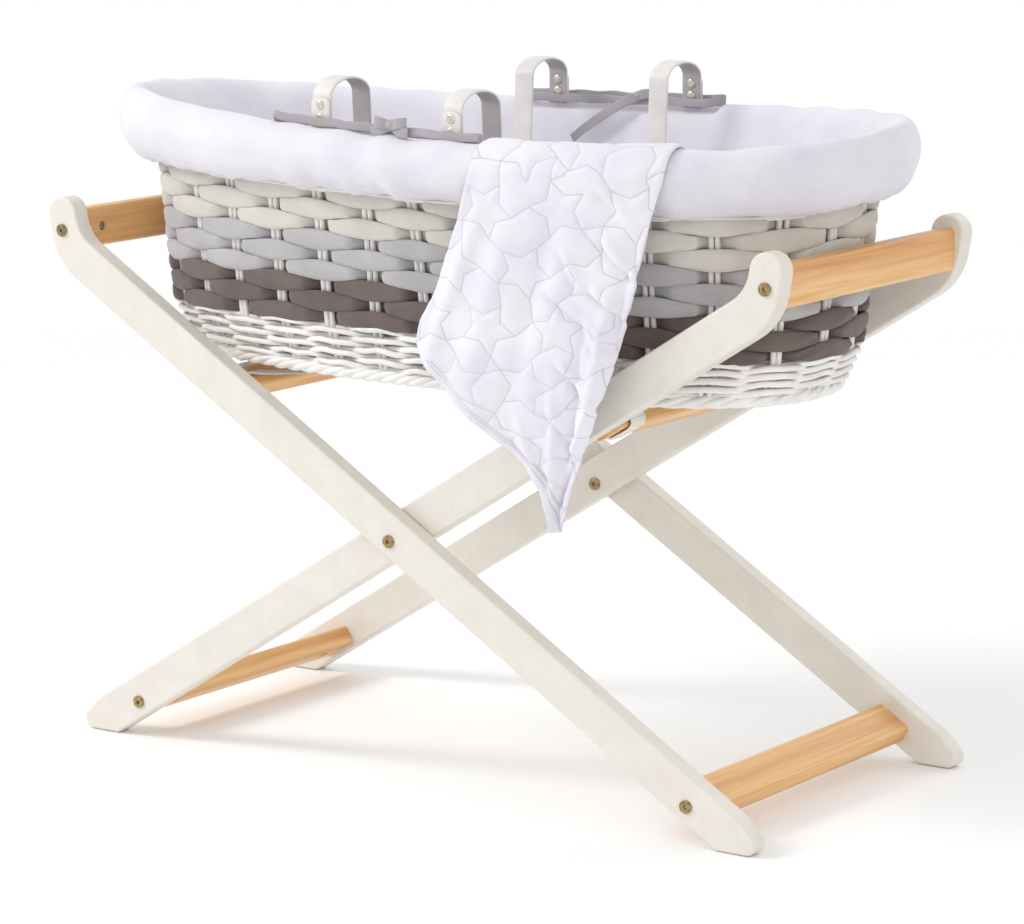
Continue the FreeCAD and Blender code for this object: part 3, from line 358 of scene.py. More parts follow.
class Look:
    """A material being made: its nodes, links and shader. LOOKS keeps it by its name."""

    def __init__(self, name, roughness=0.6, metallic=0.0, sheen=0.0, coat=0.0):
        material = bpy.data.materials.new(name)
        material.use_nodes = True
        LOOKS[name] = material
        self.tree = material.node_tree
        self.shader = self.tree.nodes["Principled BSDF"]
        self.shader.inputs["Roughness"].default_value = roughness
        self.shader.inputs["Metallic"].default_value = metallic
        self.shader.inputs["Sheen Weight"].default_value = sheen
        self.shader.inputs["Sheen Roughness"].default_value = 0.5
        self.shader.inputs["Coat Weight"].default_value = coat
        self.normal = None

    def feed(self, socket, value):
        """Link a socket to another one, or give it a constant value."""
        if isinstance(value, bpy.types.NodeSocket):
            self.tree.links.new(value, socket)
        else:
            socket.default_value = value

    def node(self, kind, **inputs):
        made = self.tree.nodes.new(kind)
        for name, value in inputs.items():
            self.feed(made.inputs[name.replace("_", " ")], value)
        return made

    def space(self, stretch, surface=False):
        """Coordinates of the object, or along its surface, stretched by a factor each way."""
        where = self.node("ShaderNodeTexCoord").outputs["UV" if surface else "Object"]
        return self.node("ShaderNodeMapping", Vector=where, Scale=stretch).outputs["Vector"]

    def noise(self, scale, stretch=(1, 1, 1), detail=3.0, distortion=0.0, surface=False):
        made = self.node("ShaderNodeTexNoise", Vector=self.space(stretch, surface),
                         Scale=scale, Detail=detail, Distortion=distortion)
        return made.outputs["Fac"]

    def wave(self, scale, direction, distortion, stretch=(1, 1, 1), surface=False):
        made = self.node("ShaderNodeTexWave", Vector=self.space(stretch, surface), Scale=scale,
                         Distortion=distortion, Detail=2.0)
        made.bands_direction = direction
        return made.outputs["Fac"]

    def ramp(self, factor, stops):
        made = self.node("ShaderNodeValToRGB", Fac=factor)
        ramp = made.color_ramp
        while len(ramp.elements) < len(stops):
            ramp.elements.new(0.5)
        for element, (place, colour) in zip(ramp.elements, stops):
            element.position = place
            element.color = colour
        return made.outputs["Color"]

    def tones(self, factor, dark, pale, low=0.3, high=0.7):
        """From a dark to a pale colour, both given as 0 to 255."""
        return self.ramp(factor, [(low, srgb(*dark)), (high, srgb(*pale))])

    def shade(self, factor, least, low, high):
        """A grey from least up to white."""
        return self.ramp(factor, [(low, (least, least, least, 1)), (high, (1, 1, 1, 1))])

    def blended(self, factor, first, second, kind="MIX"):
        made = self.tree.nodes.new("ShaderNodeMix")
        made.data_type = "RGBA"
        made.blend_type = kind
        for place, value in (("Factor", factor), (6, first), (7, second)):
            self.feed(made.inputs[place], value)
        return made.outputs[2]

    def colour(self, socket):
        self.tree.links.new(socket, self.shader.inputs["Base Color"])

    def rough(self, factor, low, high):
        made = self.node("ShaderNodeMapRange", Value=factor, To_Min=low, To_Max=high)
        self.tree.links.new(made.outputs["Result"], self.shader.inputs["Roughness"])

    def bump(self, height, depth, strength=1.0):
        """Relief of a depth in millimetres, on top of the relief that is already there."""
        made = self.node("ShaderNodeBump", Height=height, Distance=depth * MM,
                         Strength=strength)
        if self.normal is not None:
            self.tree.links.new(self.normal, made.inputs["Normal"])
        self.normal = made.outputs["Normal"]
        self.tree.links.new(self.normal, self.shader.inputs["Normal"])


def weave_relief(look, thread, depth):
    """Crossing threads along and across the surface; thread is their spacing in mm."""
    cycles = 1 / (thread * MM) / (2 * math.pi) * 2
    crossed = look.node("ShaderNodeMath", Value=look.wave(cycles, "X", 0.4, surface=True))
    crossed.operation = "MULTIPLY"
    look.feed(crossed.inputs[1], look.wave(cycles, "Y", 0.4, surface=True))
    look.bump(crossed.outputs["Value"], depth, 0.6)


def cloth_look(name, pale, dark, thread=0.9, depth=0.25, sheen=0.25, crumple=0.5):
    look = Look(name, roughness=0.88, sheen=sheen)
    base = look.tones(look.noise(16, detail=4.0), dark, pale)
    fibres = look.shade(look.noise(900, detail=2.0), 0.9, 0.35, 0.65)
    look.colour(look.blended(0.7, base, fibres, "MULTIPLY"))
    look.bump(look.noise(55, detail=4.0), crumple, 0.5)
    weave_relief(look, thread, depth)


def paint_look():
    look = Look("painted_wood", roughness=0.42, coat=0.08)
    grain = look.noise(30, (1, 1, 1), detail=5.0, distortion=0.6)
    base = look.tones(grain, (222, 216, 206), (231, 226, 217), 0.25, 0.75)
    scuffs = look.ramp(look.noise(170, detail=6.0), [(0.66, (1, 1, 1, 1)),
                                                     (0.74, (0.93, 0.91, 0.87, 1))])
    look.colour(look.blended(1.0, base, scuffs, "MULTIPLY"))
    look.rough(look.noise(80, detail=3.0), 0.34, 0.52)
    look.bump(look.noise(240, detail=4.0), 0.12, 0.6)
    look.bump(look.noise(26, detail=3.0), 0.35, 0.4)


def pine_look():
    """Pine with its grain along the rails, which run across the stand."""
    look = Look("pine", roughness=0.45, coat=0.12)
    streaks = look.noise(1.0, (130, 3.2, 130), detail=6.0, distortion=0.9)
    rings = look.wave(9.0, "X", 5.5, (1, 0.10, 1.5))
    base = look.ramp(streaks, [(0.28, srgb(214, 164, 104)), (0.5, srgb(234, 190, 132)),
                               (0.74, srgb(246, 212, 160))])
    bands = look.tones(rings, (226, 182, 128), (252, 240, 220), 0.0, 0.5)
    look.colour(look.blended(0.6, base, bands, "MULTIPLY"))
    look.rough(streaks, 0.38, 0.55)
    look.bump(streaks, 0.25, 0.5)


def metal_look(name, dark, pale, roughness):
    look = Look(name, roughness=roughness, metallic=1.0)
    stains = look.noise(260, detail=5.0)
    look.colour(look.tones(stains, dark, pale))
    look.rough(stains, roughness - 0.08, roughness + 0.15)
    look.bump(look.noise(900, detail=3.0), 0.05, 0.5)


def wicker_look():
    """White-painted willow: fine streaks along each rod, greyer in random patches."""
    look = Look("white_willow", roughness=0.5, coat=0.06)
    patches = look.noise(45, detail=4.0)
    look.colour(look.tones(patches, (226, 223, 217), (243, 241, 238), 0.25, 0.6))
    streaks = look.noise(1.0, (90, 1500, 1), detail=4.0, surface=True)
    look.bump(streaks, 0.3, 0.6)
    look.bump(look.noise(420, detail=3.0), 0.15, 0.5)
    look.rough(patches, 0.42, 0.6)


def row_look(name, pale, dark):
    """Soft matte cloth tube of a weaver row, creased lengthwise, with painted shade in the
    creases.
    """
    look = Look(name, roughness=0.92, sheen=0.2)
    base = look.tones(look.noise(24, detail=4.0), dark, pale)
    streaks = look.noise(1.0, (26, 700, 1), detail=3.0, surface=True)
    # the low parts of the crease relief also darken the colour: painted shade in the creases
    look.colour(look.blended(0.6, base, look.shade(streaks, 0.9, 0.3, 0.7), "MULTIPLY"))
    look.bump(streaks, 0.35, 0.6)
    weave_relief(look, 0.8, 0.2)


def quilt_look():
    """Quilted white cotton with pale grey stitching where the mesh says a seam runs."""
    look = Look("quilted_cotton", roughness=0.86, sheen=0.25)
    base = look.tones(look.noise(18, detail=4.0), (226, 223, 233), (238, 236, 243))
    seam = look.tree.nodes.new("ShaderNodeAttribute")
    seam.attribute_name = "stitch"
    thread = look.shade(seam.outputs["Fac"], 0, 0.40, 0.90)
    look.colour(look.blended(thread, base, srgb(209, 206, 215)))
    look.bump(look.noise(60, detail=4.0), 0.8, 0.5)
    weave_relief(look, 0.9, 0.2)


def leather_look(name, pale, dark):
    look = Look(name, roughness=0.5, coat=0.05)
    patches = look.noise(40, detail=3.0)
    look.colour(look.tones(patches, dark, pale))
    grain = look.node("ShaderNodeTexVoronoi", Vector=look.space((1, 1, 1)), Scale=1100.0)
    look.bump(grain.outputs["Distance"], 0.25, 0.6)
    look.rough(patches, 0.42, 0.58)


def webbing_look():
    look = Look("webbing", roughness=0.85, sheen=0.15)
    look.colour(look.tones(look.noise(60, detail=3.0), (226, 223, 218), (240, 238, 235)))
    look.bump(look.wave(90, "X", 0.3, surface=True), 0.5, 0.7)
    look.bump(look.wave(160, "Y", 0.6, surface=True), 0.25, 0.5)


def make_looks():
    paint_look()
    pine_look()
    metal_look("brass_plate", (128, 110, 78), (190, 168, 124), 0.34)
    metal_look("zinc_steel", (128, 130, 134), (184, 186, 190), 0.38)
    metal_look("pale_brass", (206, 196, 176), (236, 230, 214), 0.28)
    webbing_look()
    wicker_look()
    row_look("cream_fabric", (222, 217, 208), (208, 203, 194))
    row_look("light_grey_fabric", (194, 191, 192), (178, 175, 177))
    row_look("dark_taupe_fabric", (116, 103, 98), (97, 85, 81))
    cloth_look("white_cotton", (238, 235, 243), (226, 223, 233))
    quilt_look()
    cloth_look("mattress_cover", (240, 239, 242), (228, 227, 231), 1.6, 0.5, crumple=0.8)
    cloth_look("grey_cotton", (182, 178, 181), (162, 158, 162))
    leather_look("leatherette", (230, 227, 224), (217, 214, 211))
    leather_look("leatherette_back", (184, 180, 180), (168, 164, 165))


# --- the stand ---

def both_frames(*words):
    """The names of nodes that the outer and the inner frame both have."""
    return [f"{side}_{word}" for word in words for side in ("outer", "inner")]


KEPT_NODES = {
    "painted_wood": both_frames("leg_front", "leg_rear"),
    "pine": both_frames("top_rail", "support_rail", "bottom_rail", "dowels"),
    "brass_plate": both_frames("rail_bolts") + ["pivot_bolts", "pivot_sleeve_nuts"],
    "zinc_steel": both_frames("barrel_nuts") + ["pivot_washers"],
}


def shade_planes_flat(mesh, least=0.05):
    """Shade the large plane faces flat and the rounded edges between them smooth."""
    if "custom_normal" in mesh.attributes:
        mesh.attributes.remove(mesh.attributes["custom_normal"])
    count = len(mesh.polygons)
    normals = np.zeros(count * 3)
    areas = np.zeros(count)
    mesh.polygons.foreach_get("normal", normals)
    mesh.polygons.foreach_get("area", areas)
    keys = np.round(normals.reshape(-1, 3), 2) + 0.0
    _, group = np.unique(keys, axis=0, return_inverse=True)
    total = np.bincount(group.ravel(), areas)
    plane = total[group.ravel()] > least * areas.sum()
    mesh.polygons.foreach_set("use_smooth", ~plane)
    mesh.update()


def dress_stand():
    """The CAD nodes that stay in view get their detailed materials."""
    for slot, nodes in KEPT_NODES.items():
        for node in nodes:
            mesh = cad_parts[node].data
            shade_planes_flat(mesh)
            mesh.materials.clear()
            mesh.materials.append(LOOKS[slot])


STRAP_WIDTH = 25.0
STRAP_THICK = 1.5
STRAP_AIR = 0.4
STRAP_SAG = 1.6
STRAP_POINTS = 260
# the height in metres of the line between the rails, over which the strap folds
RAIL_SLOPE = math.radians(31.76)
RAIL_HALF_THICK = 9.0
RAIL_SHARE = 0.86


def webbing_strap(word):
    """The slack strap between the support rails, wrapped round each of them."""
    low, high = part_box(f"{word}_webbing_strap")
    rail_low, rail_high = box("inner_support_rail")
    middle = np.array([(rail_low.x + rail_high.x) / 2, (rail_low.z + rail_high.z) / 2])
    along = np.array([math.cos(RAIL_SLOPE), math.sin(RAIL_SLOPE)])
    corner = np.array([rail_high.x, rail_high.z]) - middle
    half_width = np.dot(corner, along) * RAIL_SHARE
    gap = STRAP_THICK / 2 + STRAP_AIR
    over = np.array([-along[1], along[0]]) * (RAIL_HALF_THICK + gap)
    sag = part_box("bottom_border")[0].z / MM - STRAP_SAG
    right = [
        middle + along * (6 - half_width) - over,
        middle + along * (half_width - 4) - over,
        middle + along * (half_width + gap),
        middle + along * (half_width - 4) + over,
        middle + over,
        np.array([120.0, sag + 1.0]),
        np.array([40.0, sag]),
    ]
    left = [point * (-1, 1) for point in right[::-1]]
    line = smooth_path(right + left, STRAP_POINTS)
    side = (low.y + high.y) / 2 / MM
    path = np.stack([line[:, 0], np.full(len(line), side), line[:, 1]], -1)
    soup = Soup()
    soup.band(path, (0, 1, 0), STRAP_WIDTH, STRAP_THICK)
    piece = soup.piece(f"{word}_webbing", "webbing", f"{word}_webbing_strap", body=None)
    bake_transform(piece)


# --- the woven wall ---

CANE_RADIUS = 2.7
CANE_DEPTH = 9.2
CANE_SPACING = 6.4
ROW_SLOTS = ("dark_taupe_fabric", "light_grey_fabric", "cream_fabric")
ROW_STEPS = 20
ROW_SIDES = 18


def woven_row(number):
    """One padded cloth band that passes in front of one cane pair and behind the next."""
    steps = PAIRS * ROW_STEPS
    pair = np.arange(steps) / ROW_STEPS
    share = pair / PAIRS
    # 0 where the band is behind a cane pair, 1 where it is in front of the next one
    away = 1 - np.abs((pair + (number + 1) % 2) % 2 - 1)
    front = smooth_step(away, 0.09, 0.36)
    swell = 0.5 - 0.5 * np.cos(np.pi * away)
    depth = 13.5 - 10.3 * front + 0.35 * waves(share, 60 + number, 20, 60)
    half_thick = 1.7 + 1.2 * front + 0.5 * swell
    half_height = 4.9 + 5.2 * swell + 1.3 * np.exp(-(away / 0.2) ** 2)
    bunched = smooth_step(np.cos(2 * np.pi * (share - 0.955)), 0.86, 0.97) * (number <= 3)
    half_height = half_height - 1.8 * bunched * np.exp(-(away / 0.45) ** 2)
    half_height = half_height * (1 + 0.03 * waves(share, 40 + number, 9, 40))
    centre = ROW_FOOT + (number - 0.5) * ROW_PITCH + 0.4 * waves(share, 80 + number, 12, 50)
    turn = 2 * np.pi * np.arange(ROW_SIDES) / ROW_SIDES
    out = np.sign(np.cos(turn)) * np.abs(np.cos(turn)) ** 0.86
    up = np.sign(np.sin(turn)) * np.abs(np.sin(turn)) ** 0.86
    crease = 0.4 * np.sin(4 * turn[None, :] + 9 * waves(share, 100 + number, 9, 30)[:, None])
    crease = crease * ((1.1 - swell) * front * (1 + 2.5 * bunched))[:, None]
    depths = depth[:, None] - (half_thick[:, None] + crease) * out[None, :]
    heights = centre[:, None] + half_height[:, None] * up[None, :]
    pairs = np.broadcast_to(pair[:, None], depths.shape)
    soup = Soup()
    soup.grid(wall_point(pairs, heights, depths), (True, True))
    soup.piece(f"woven_row_{number}", ROW_SLOTS[(number - 1) // 3], f"weaver_row_{number}",
               fill=0.6)


CANE_FOOT = 397.0
CANE_TOP = 590.0
# pairs moved along by one millimetre, near enough all round
PAIRS_PER_MM = PAIRS * 0.62 / (2 * (390 + 190))


def upright_canes():
    """Pairs of painted canes from the bottom border up into the rim."""
    soup = Soup()
    heights = np.linspace(CANE_FOOT, CANE_TOP, 40)
    for pair in range(PAIRS):
        random = np.random.RandomState(300 + pair)
        for side in (-0.5, 0.5):
            lean = random.uniform(-1.6, 1.6)
            shift = side * CANE_SPACING + lean * (heights - 500) / 100
            height_share = (heights - CANE_FOOT) / (CANE_TOP - CANE_FOOT)
            bow = random.uniform(-0.5, 0.5) * np.sin(height_share * np.pi)
            path = wall_point(pair + shift * PAIRS_PER_MM, heights, CANE_DEPTH + bow)
            soup.rod(path, CANE_RADIUS, 10, up=(1.0, 0.3, 0.0))
    soup.piece("cane_uprights", "white_willow", "upright_canes")


BAND_RODS = 8
BAND_FOOT = 402.0
BAND_TOP = 438.0


def willow_band():
    """Painted willow rods woven in and out of the canes, between border and cloth rows."""
    soup = Soup()
    steps = PAIRS * 16
    pair = np.arange(steps) / 16
    share = pair / PAIRS
    pitch = (BAND_TOP - BAND_FOOT) / (BAND_RODS - 1)
    for number in range(BAND_RODS):
        sign = -1 if number % 2 else 1
        over = sign * np.cos(np.pi * pair)
        near_right = 0.5 + 0.5 * np.cos(2 * np.pi * (share - 0.93))
        radius = 2.3 + 0.9 * near_right + 0.35 * waves(share, 200 + number, 5, 30)
        depth = 6.8 - 4.0 * np.tanh(1.8 * over) / math.tanh(1.8)
        slant = 1.7 * np.sin(np.pi * pair + 0.5 * np.pi * sign) * (0.5 + near_right)
        height = BAND_FOOT + number * pitch + slant + 1.1 * waves(share, 220 + number, 16, 60)
        path = wall_point(pair, height, depth)
        soup.rod(path, radius, 10, closed=True)
    soup.piece("willow_rods", "white_willow", "willow_band")


def twist(soup, level, rods, radius, offset, twists):
    """Rods wound round each other along a level line, which is the middle of the border."""
    half_length, half_width, power, height = level
    steps = twists * 14
    share = np.arange(steps) / steps
    for number in range(rods):
        turn = 2 * np.pi * (share * twists + number / rods)
        out = offset * np.cos(turn)
        up = offset * np.sin(turn)
        path = level_point(half_length + out, half_width + out, power, height + up,
                           turn_at(share))
        thick = radius * (1 + 0.08 * waves(share, 400 + number, 15, 60))
        soup.rod(path, thick, 12, closed=True)


def bottom_border():
    soup = Soup()
    twist(soup, (354.5, 160.0, 2.4, 394.8), rods=4, radius=3.3, offset=3.5, twists=22)
    soup.piece("border_rods", "white_willow", "bottom_border")


RIM_WAVE_HEIGHT = 571.6


def rim_border():
    """The twisted rim under the liner's roll, with two rods woven in just below it."""
    soup = Soup()
    twist(soup, (384.5, 186.0, 2.5, 580.15), rods=2, radius=3.0, offset=2.6, twists=60)
    pair = np.arange(PAIRS * 16) / 16
    for number in range(2):
        wave = np.cos(np.pi * pair + np.pi * number)
        path = wall_point(pair, RIM_WAVE_HEIGHT + 1.6 * wave, 2.6 - 2.2 * wave)
        soup.rod(path, 2.3, 10, closed=True)
    soup.piece("rim_rods", "white_willow", "rim_border")


BASE_STAKES = 15
BASE_PITCH = 8.0
BASE_POWER = 2.4


def oval_reach(place, half_length, half_width):
    """Half the oval base's size across a line at a place along it."""
    return half_width * (1 - abs(place / half_length) ** BASE_POWER) ** (1 / BASE_POWER)


def woven_base():
    """The flat woven base: stakes across and rods woven along, cut to the base's outline."""
    low, high = box("basket_base")
    half_length = high.x
    half_width = high.y
    middle = (low.z + high.z) / 2
    soup = Soup()
    spacing = 2 * half_length / (BASE_STAKES + 1)
    for number in range(BASE_STAKES):
        along = -half_length + spacing * (number + 1)
        reach = oval_reach(along, half_length, half_width)
        across = np.linspace(-reach, reach, 24)
        path = np.stack([np.full(24, along), across, np.full(24, middle)], -1)
        soup.rod(path, 2.0, 8)
    count = int(2 * half_width / BASE_PITCH)
    for number in range(count):
        across = -half_width + BASE_PITCH * (number + 0.6)
        reach = oval_reach(across, half_width, half_length)
        along = np.linspace(-reach, reach, 170)
        sign = -1 if number % 2 else 1
        wave = sign * 1.6 * np.cos(np.pi * (along + half_length) / spacing)
        path = np.stack([along, np.full(170, across), middle + wave], -1)
        soup.rod(path, 3.0, 8)
    soup.piece("woven_base", "white_willow", "basket_base")


# --- liner ---

# the padded face from the hem over the rim and down inside: half length, half width, power
# of the level line and height
LINER_FACE = [
    (405.4, 203.6, 2.5, 574.2),
    (411.4, 208.6, 2.48, 577.0),
    (420.4, 216.6, 2.45, 584.65),
    (427.0, 222.6, 2.45, 596.3),
    (429.0, 224.6, 2.45, 610.3),
    (425.4, 215.6, 2.42, 624.3),
    (416.4, 199.6, 2.4, 630.3),
    (403.4, 188.6, 2.42, 625.3),
    (390.4, 181.6, 2.45, 613.3),
    (376.2, 176.2, 2.5, 592.0),
    (372.7, 174.2, 2.5, 573.65),
    (360.7, 153.2, 2.6, 440.0),
    (348.0, 149.0, 2.5, 401.0),
]
LINER_BACK = [
    (349.6, 150.6, 2.5, 401.0),
    (362.4, 154.9, 2.6, 440.0),
    (374.4, 175.9, 2.5, 573.65),
    (380.0, 180.0, 2.5, 588.0),
    (404.0, 204.0, 2.45, 606.0),
    (405.0, 204.5, 2.45, 590.0),
    (402.4, 200.6, 2.5, 574.2),
]
LINER_STEPS = 900
FACE_STEPS = 110
BACK_STEPS = 30
NEAR_SLOT = (-132.0, 112.0)
FAR_SLOT = (-122.0, 130.0)
SLOT_DEPTH = 7.0
SLOT_HALF_WIDTH = 5.5
CREST_LENGTH = 416.4
CREST_WIDTH = 199.6
CREST_HEIGHT = 630.3
CREST_POWER = 2.4


def crest_width(along):
    """Half width of the crest at a place along the basket."""
    share = np.abs(along) / CREST_LENGTH
    return CREST_WIDTH * (1 - share ** CREST_POWER) ** (1 / CREST_POWER)


def crest_lift(along, side):
    """How far the crest is lifted at a place along the basket, on one side."""
    across = side * crest_width(along) / CREST_WIDTH
    return rise(CREST_HEIGHT, along / CREST_LENGTH, across)


def slot_window(points):
    """1 in the handle slots and 0 away from them, fading at their ends."""
    window = np.zeros(points.shape[:-1])
    for side, (start, end) in ((-1, NEAR_SLOT), (1, FAR_SLOT)):
        along = points[..., 0]
        inside = smooth_step(along, start, start + 12) * (1 - smooth_step(along, end - 12, end))
        middle = side * (crest_width(np.clip(along, -400, 400)) - 7.5)
        offset = (points[..., 1] - middle) / SLOT_HALF_WIDTH
        window += inside * np.exp(-offset ** 4) * (points[..., 2] > 600)
    return window


def liner():
    """Padded roll over the rim, its gathered skirt outside and the cloth wall inside."""
    share = (np.arange(LINER_STEPS) / LINER_STEPS)[:, None]
    turn = turn_at(share)
    face = smooth_path(LINER_FACE, FACE_STEPS)
    back = smooth_path(LINER_BACK, BACK_STEPS)
    levels = np.vstack([face, back])
    points = level_point(levels[None, :, 0], levels[None, :, 1], levels[None, :, 2],
                         levels[None, :, 3], turn)
    around = np.gradient(points, axis=0)
    down = np.gradient(points, axis=1)
    normal = unit(np.cross(around, down))
    place = np.linspace(0, 1, FACE_STEPS)
    place = np.concatenate([place, np.zeros(BACK_STEPS)])[None, :]
    on_face = np.concatenate([np.ones(FACE_STEPS), np.zeros(BACK_STEPS)])[None, :]
    height = levels[None, :, 3]
    inside = on_face * smooth_step(place, 0.42, 0.52)
    outside = on_face * (1 - smooth_step(place, 0.22, 0.36))
    hem = outside * (1 - smooth_step(height, 577, 600))
    gathers = waves(share + 0.0006 * (height - 574) / 10, 11, 26, 70, 11)
    gathers = np.maximum(gathers, -0.5) * 1.3
    folds = waves(share + 0.0015 * (height - 600) / 10, 12, 18, 40, 9)
    sags = waves(share + 0.001 * np.sin(height / 30), 13, 12, 34, 9)
    hangs = waves(share + 0.0010 * (height - 500) / 20, 14, 26, 62, 9)
    ripple = hem * 1.5 * gathers + outside * (1.6 * folds) + on_face * 0.8 * sags
    wall = inside * smooth_step(height, 430, 470)
    ripple = ripple + wall * (4.0 + 3.6 * hangs + 1.6 * folds)
    stitch = outside * np.exp(-((height - 581.5) / 0.9) ** 2)
    ripple = ripple - 0.7 * stitch
    points = points + normal * ripple[..., None]
    points[..., 2] -= SLOT_DEPTH * slot_window(points) * on_face
    edge = (1 - smooth_step(height, 576, 594)) * (outside + (1 - on_face) * (height > 573.7))
    points[..., 2] += 1.1 * edge * waves(share, 15, 8, 26, 7)
    soup = Soup()
    soup.grid(points, (True, True))
    soup.piece("cloth_liner", "white_cotton", "liner", fill=0.35)


# --- handles and trims ---

HANDLES = {"near": (-1, -76.0, 76.0, NEAR_SLOT), "far": (1, -69.0, 92.0, FAR_SLOT)}
HANDLE_INSET = 9.5
HANDLE_REACH = 60.0
HANDLE_ARCH = 16.0
HANDLE_TOP = 674.0
HANDLE_LEAN = 8.0
HANDLE_MIDDLE = 503.0
HANDLE_WIDTH = 22.0
HANDLE_THICK = 2.8
HANDLE_CORNER = 24.0
HANDLE_SIDES = 16
ARM_STEPS = 24
SLOT_REACH = 4.0


def handle_arm(at, side):
    """Middle line of one arm, from its foot in the slot over the arch and down inside."""
    lift = float(crest_lift(at, side))
    out = CREST_WIDTH - HANDLE_INSET
    spring = HANDLE_TOP - HANDLE_ARCH + lift
    foot = np.linspace(CREST_HEIGHT - SLOT_REACH + lift, spring, 12)[:-1]
    points = [(at, side * out, height) for height in foot]
    middle = out - HANDLE_REACH / 2
    for turn in np.linspace(0, math.pi, 36):
        points.append((at, side * (middle + HANDLE_REACH / 2 * math.cos(turn)),
                       spring + HANDLE_ARCH * math.sin(turn)))
    inner = out - HANDLE_REACH
    for share in np.linspace(0, 1, ARM_STEPS)[1:]:
        height = spring + (HANDLE_MIDDLE + HANDLE_CORNER - spring) * share
        points.append((at, side * (inner - HANDLE_LEAN * share), height))
    return np.array(points)


def handle_strap(word):
    side, left, right, _ = HANDLES[word]
    inner = CREST_WIDTH - HANDLE_INSET - HANDLE_REACH - HANDLE_LEAN
    first = handle_arm(left, side)
    last = handle_arm(right, side)[::-1]
    start = left + HANDLE_CORNER
    end = right - HANDLE_CORNER
    top = HANDLE_MIDDLE + HANDLE_CORNER
    turns = np.linspace(0, math.pi / 2, 14)[1:-1]
    bend = HANDLE_CORNER * np.cos(turns)
    fall = HANDLE_CORNER * np.sin(turns)
    along = np.concatenate([start - bend, np.linspace(start, end, 30), end + fall])
    height = np.concatenate([top - fall, np.full(30, HANDLE_MIDDLE), top - bend])
    loop = np.stack([along, np.full(len(along), side * inner), height], -1)
    path = np.vstack([first, loop, last])
    run = tangents(path, False)
    count = len(first) - ARM_STEPS + 2
    wide = np.cross(run, np.array([0.0, 1.0, 0.0]))
    wide[:count] = (1.0, 0.0, 0.0)
    wide[-count:] = (-1.0, 0.0, 0.0)
    soup = Soup()
    soup.band(path, wide, HANDLE_WIDTH, HANDLE_THICK, sides=HANDLE_SIDES)
    piece = soup.piece(f"{word}_handle_loop", "leatherette", f"{word}_handle_strap", body=None)
    line_inside(piece, HANDLE_SIDES, side)
    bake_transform(piece)


def line_inside(piece, sides, side):
    """Give the strap's inner face, without its edges, the colour of its back."""
    piece.data.materials.append(LOOKS["leatherette_back"])
    column = np.arange(len(piece.data.polygons)) % sides
    half = sides // 2
    first = 0 if side < 0 else half
    inner = (column > first) & (column < first + half - 1)
    piece.data.polygons.foreach_set("material_index", inner.astype(np.int32))


TAB_HEIGHT = 31.0
TAB_THICK = 1.9
TAB_OUT = 0.9
# the tab's rounded top: where it begins, its height and its power
TAB_ROUND = (25.0, 6.2, 2.4)
RIVET_HEIGHTS = (8, 20)


def handle_ends(word):
    """The doubled strap ends and their domed rivets, where the CAD has them."""
    side, left, right, _ = HANDLES[word]
    tabs_low, tabs_high = box(f"{word}_handle_tabs")
    face = tabs_high.y if side > 0 else tabs_low.y
    tabs = Soup()
    rivets = Soup()
    for at in (left, right):
        foot = CREST_HEIGHT + float(crest_lift(at, side)) - SLOT_REACH
        path = np.array([(at, face - side * TAB_OUT, foot + up)
                         for up in np.linspace(0, TAB_HEIGHT, 24)])
        start, height, power = TAB_ROUND
        bend = np.clip((path[:, 2] - foot - start) / height, 0, 1) ** power
        width = HANDLE_WIDTH * np.minimum(1, np.sqrt(np.maximum(0.02, 1 - bend)))
        ring = strip(path, (1, 0, 0), 1.0, TAB_THICK, sides=HANDLE_SIDES)
        ring[..., 0] = at + (ring[..., 0] - at) * width[:, None]
        tabs.grid(ring, (False, True), True)
        for up in RIVET_HEIGHTS:
            rivet_dome(rivets, (at, face, foot + SLOT_REACH + up), side)
    tabs.piece(f"{word}_strap_ends", "leatherette", f"{word}_handle_tabs")
    rivets.piece(f"{word}_rivet_domes", "pale_brass", f"{word}_rivets")


def rivet_dome(soup, middle, side):
    """A domed head with a rim, turned about the line through the strap."""
    profile = [(0.1, 1.3), (1.8, 1.25), (3.2, 1.1), (4.1, 0.75), (4.6, 0.2), (4.5, -0.3),
               (2.0, -0.6), (2.0, -5.0), (4.4, -5.2), (4.7, -5.6), (4.2, -6.1), (3.0, -6.3),
               (1.5, -6.4), (0.1, -6.4)]
    turn = 2 * np.pi * np.arange(24) / 24
    rings = []
    for radius, out in smooth_path(profile, 52):
        rings.append(np.stack([middle[0] + radius * np.cos(turn),
                               np.full(24, middle[1] + side * out),
                               middle[2] + radius * np.sin(turn)], -1))
    soup.grid(np.array(rings), (False, True), True)


BINDING_BACK = 13.0
BINDING_RISE = 5.0
BINDING_WIDTH = 8.4
BINDING_THICK = 2.2


def binding(word):
    """Grey bias binding all round a handle slot, open like a mouth at both ends."""
    side, _, _, (start, end) = HANDLES[word]
    count = 120
    along = np.linspace(start + 2, end - 2, count)
    front = crest_width(along) + 0.4
    shares = (along - start) / (end - start)
    spread = smooth_step(shares, 0, 0.06) * (1 - smooth_step(shares, 0.94, 1))
    back = front - 2.6 - (BINDING_BACK - 2.6) * spread
    lift = crest_lift(along, side)
    high = CREST_HEIGHT + BINDING_RISE + lift + 0.8 * waves(shares, 31, 2, 7, 5)
    outer = np.stack([along, side * front, high], -1)
    inner = np.stack([along, side * back, high - 3.0], -1)[::-1]
    path = np.vstack([outer, inner])
    soup = Soup()
    soup.band(path, (0, 0, 1), BINDING_WIDTH, BINDING_THICK, closed=True)
    soup.piece(f"{word}_slot_binding", "grey_cotton", f"{word}_binding", fill=0.5)


RIBBON_WIDTH = 10.0
RIBBON_THICK = 0.9
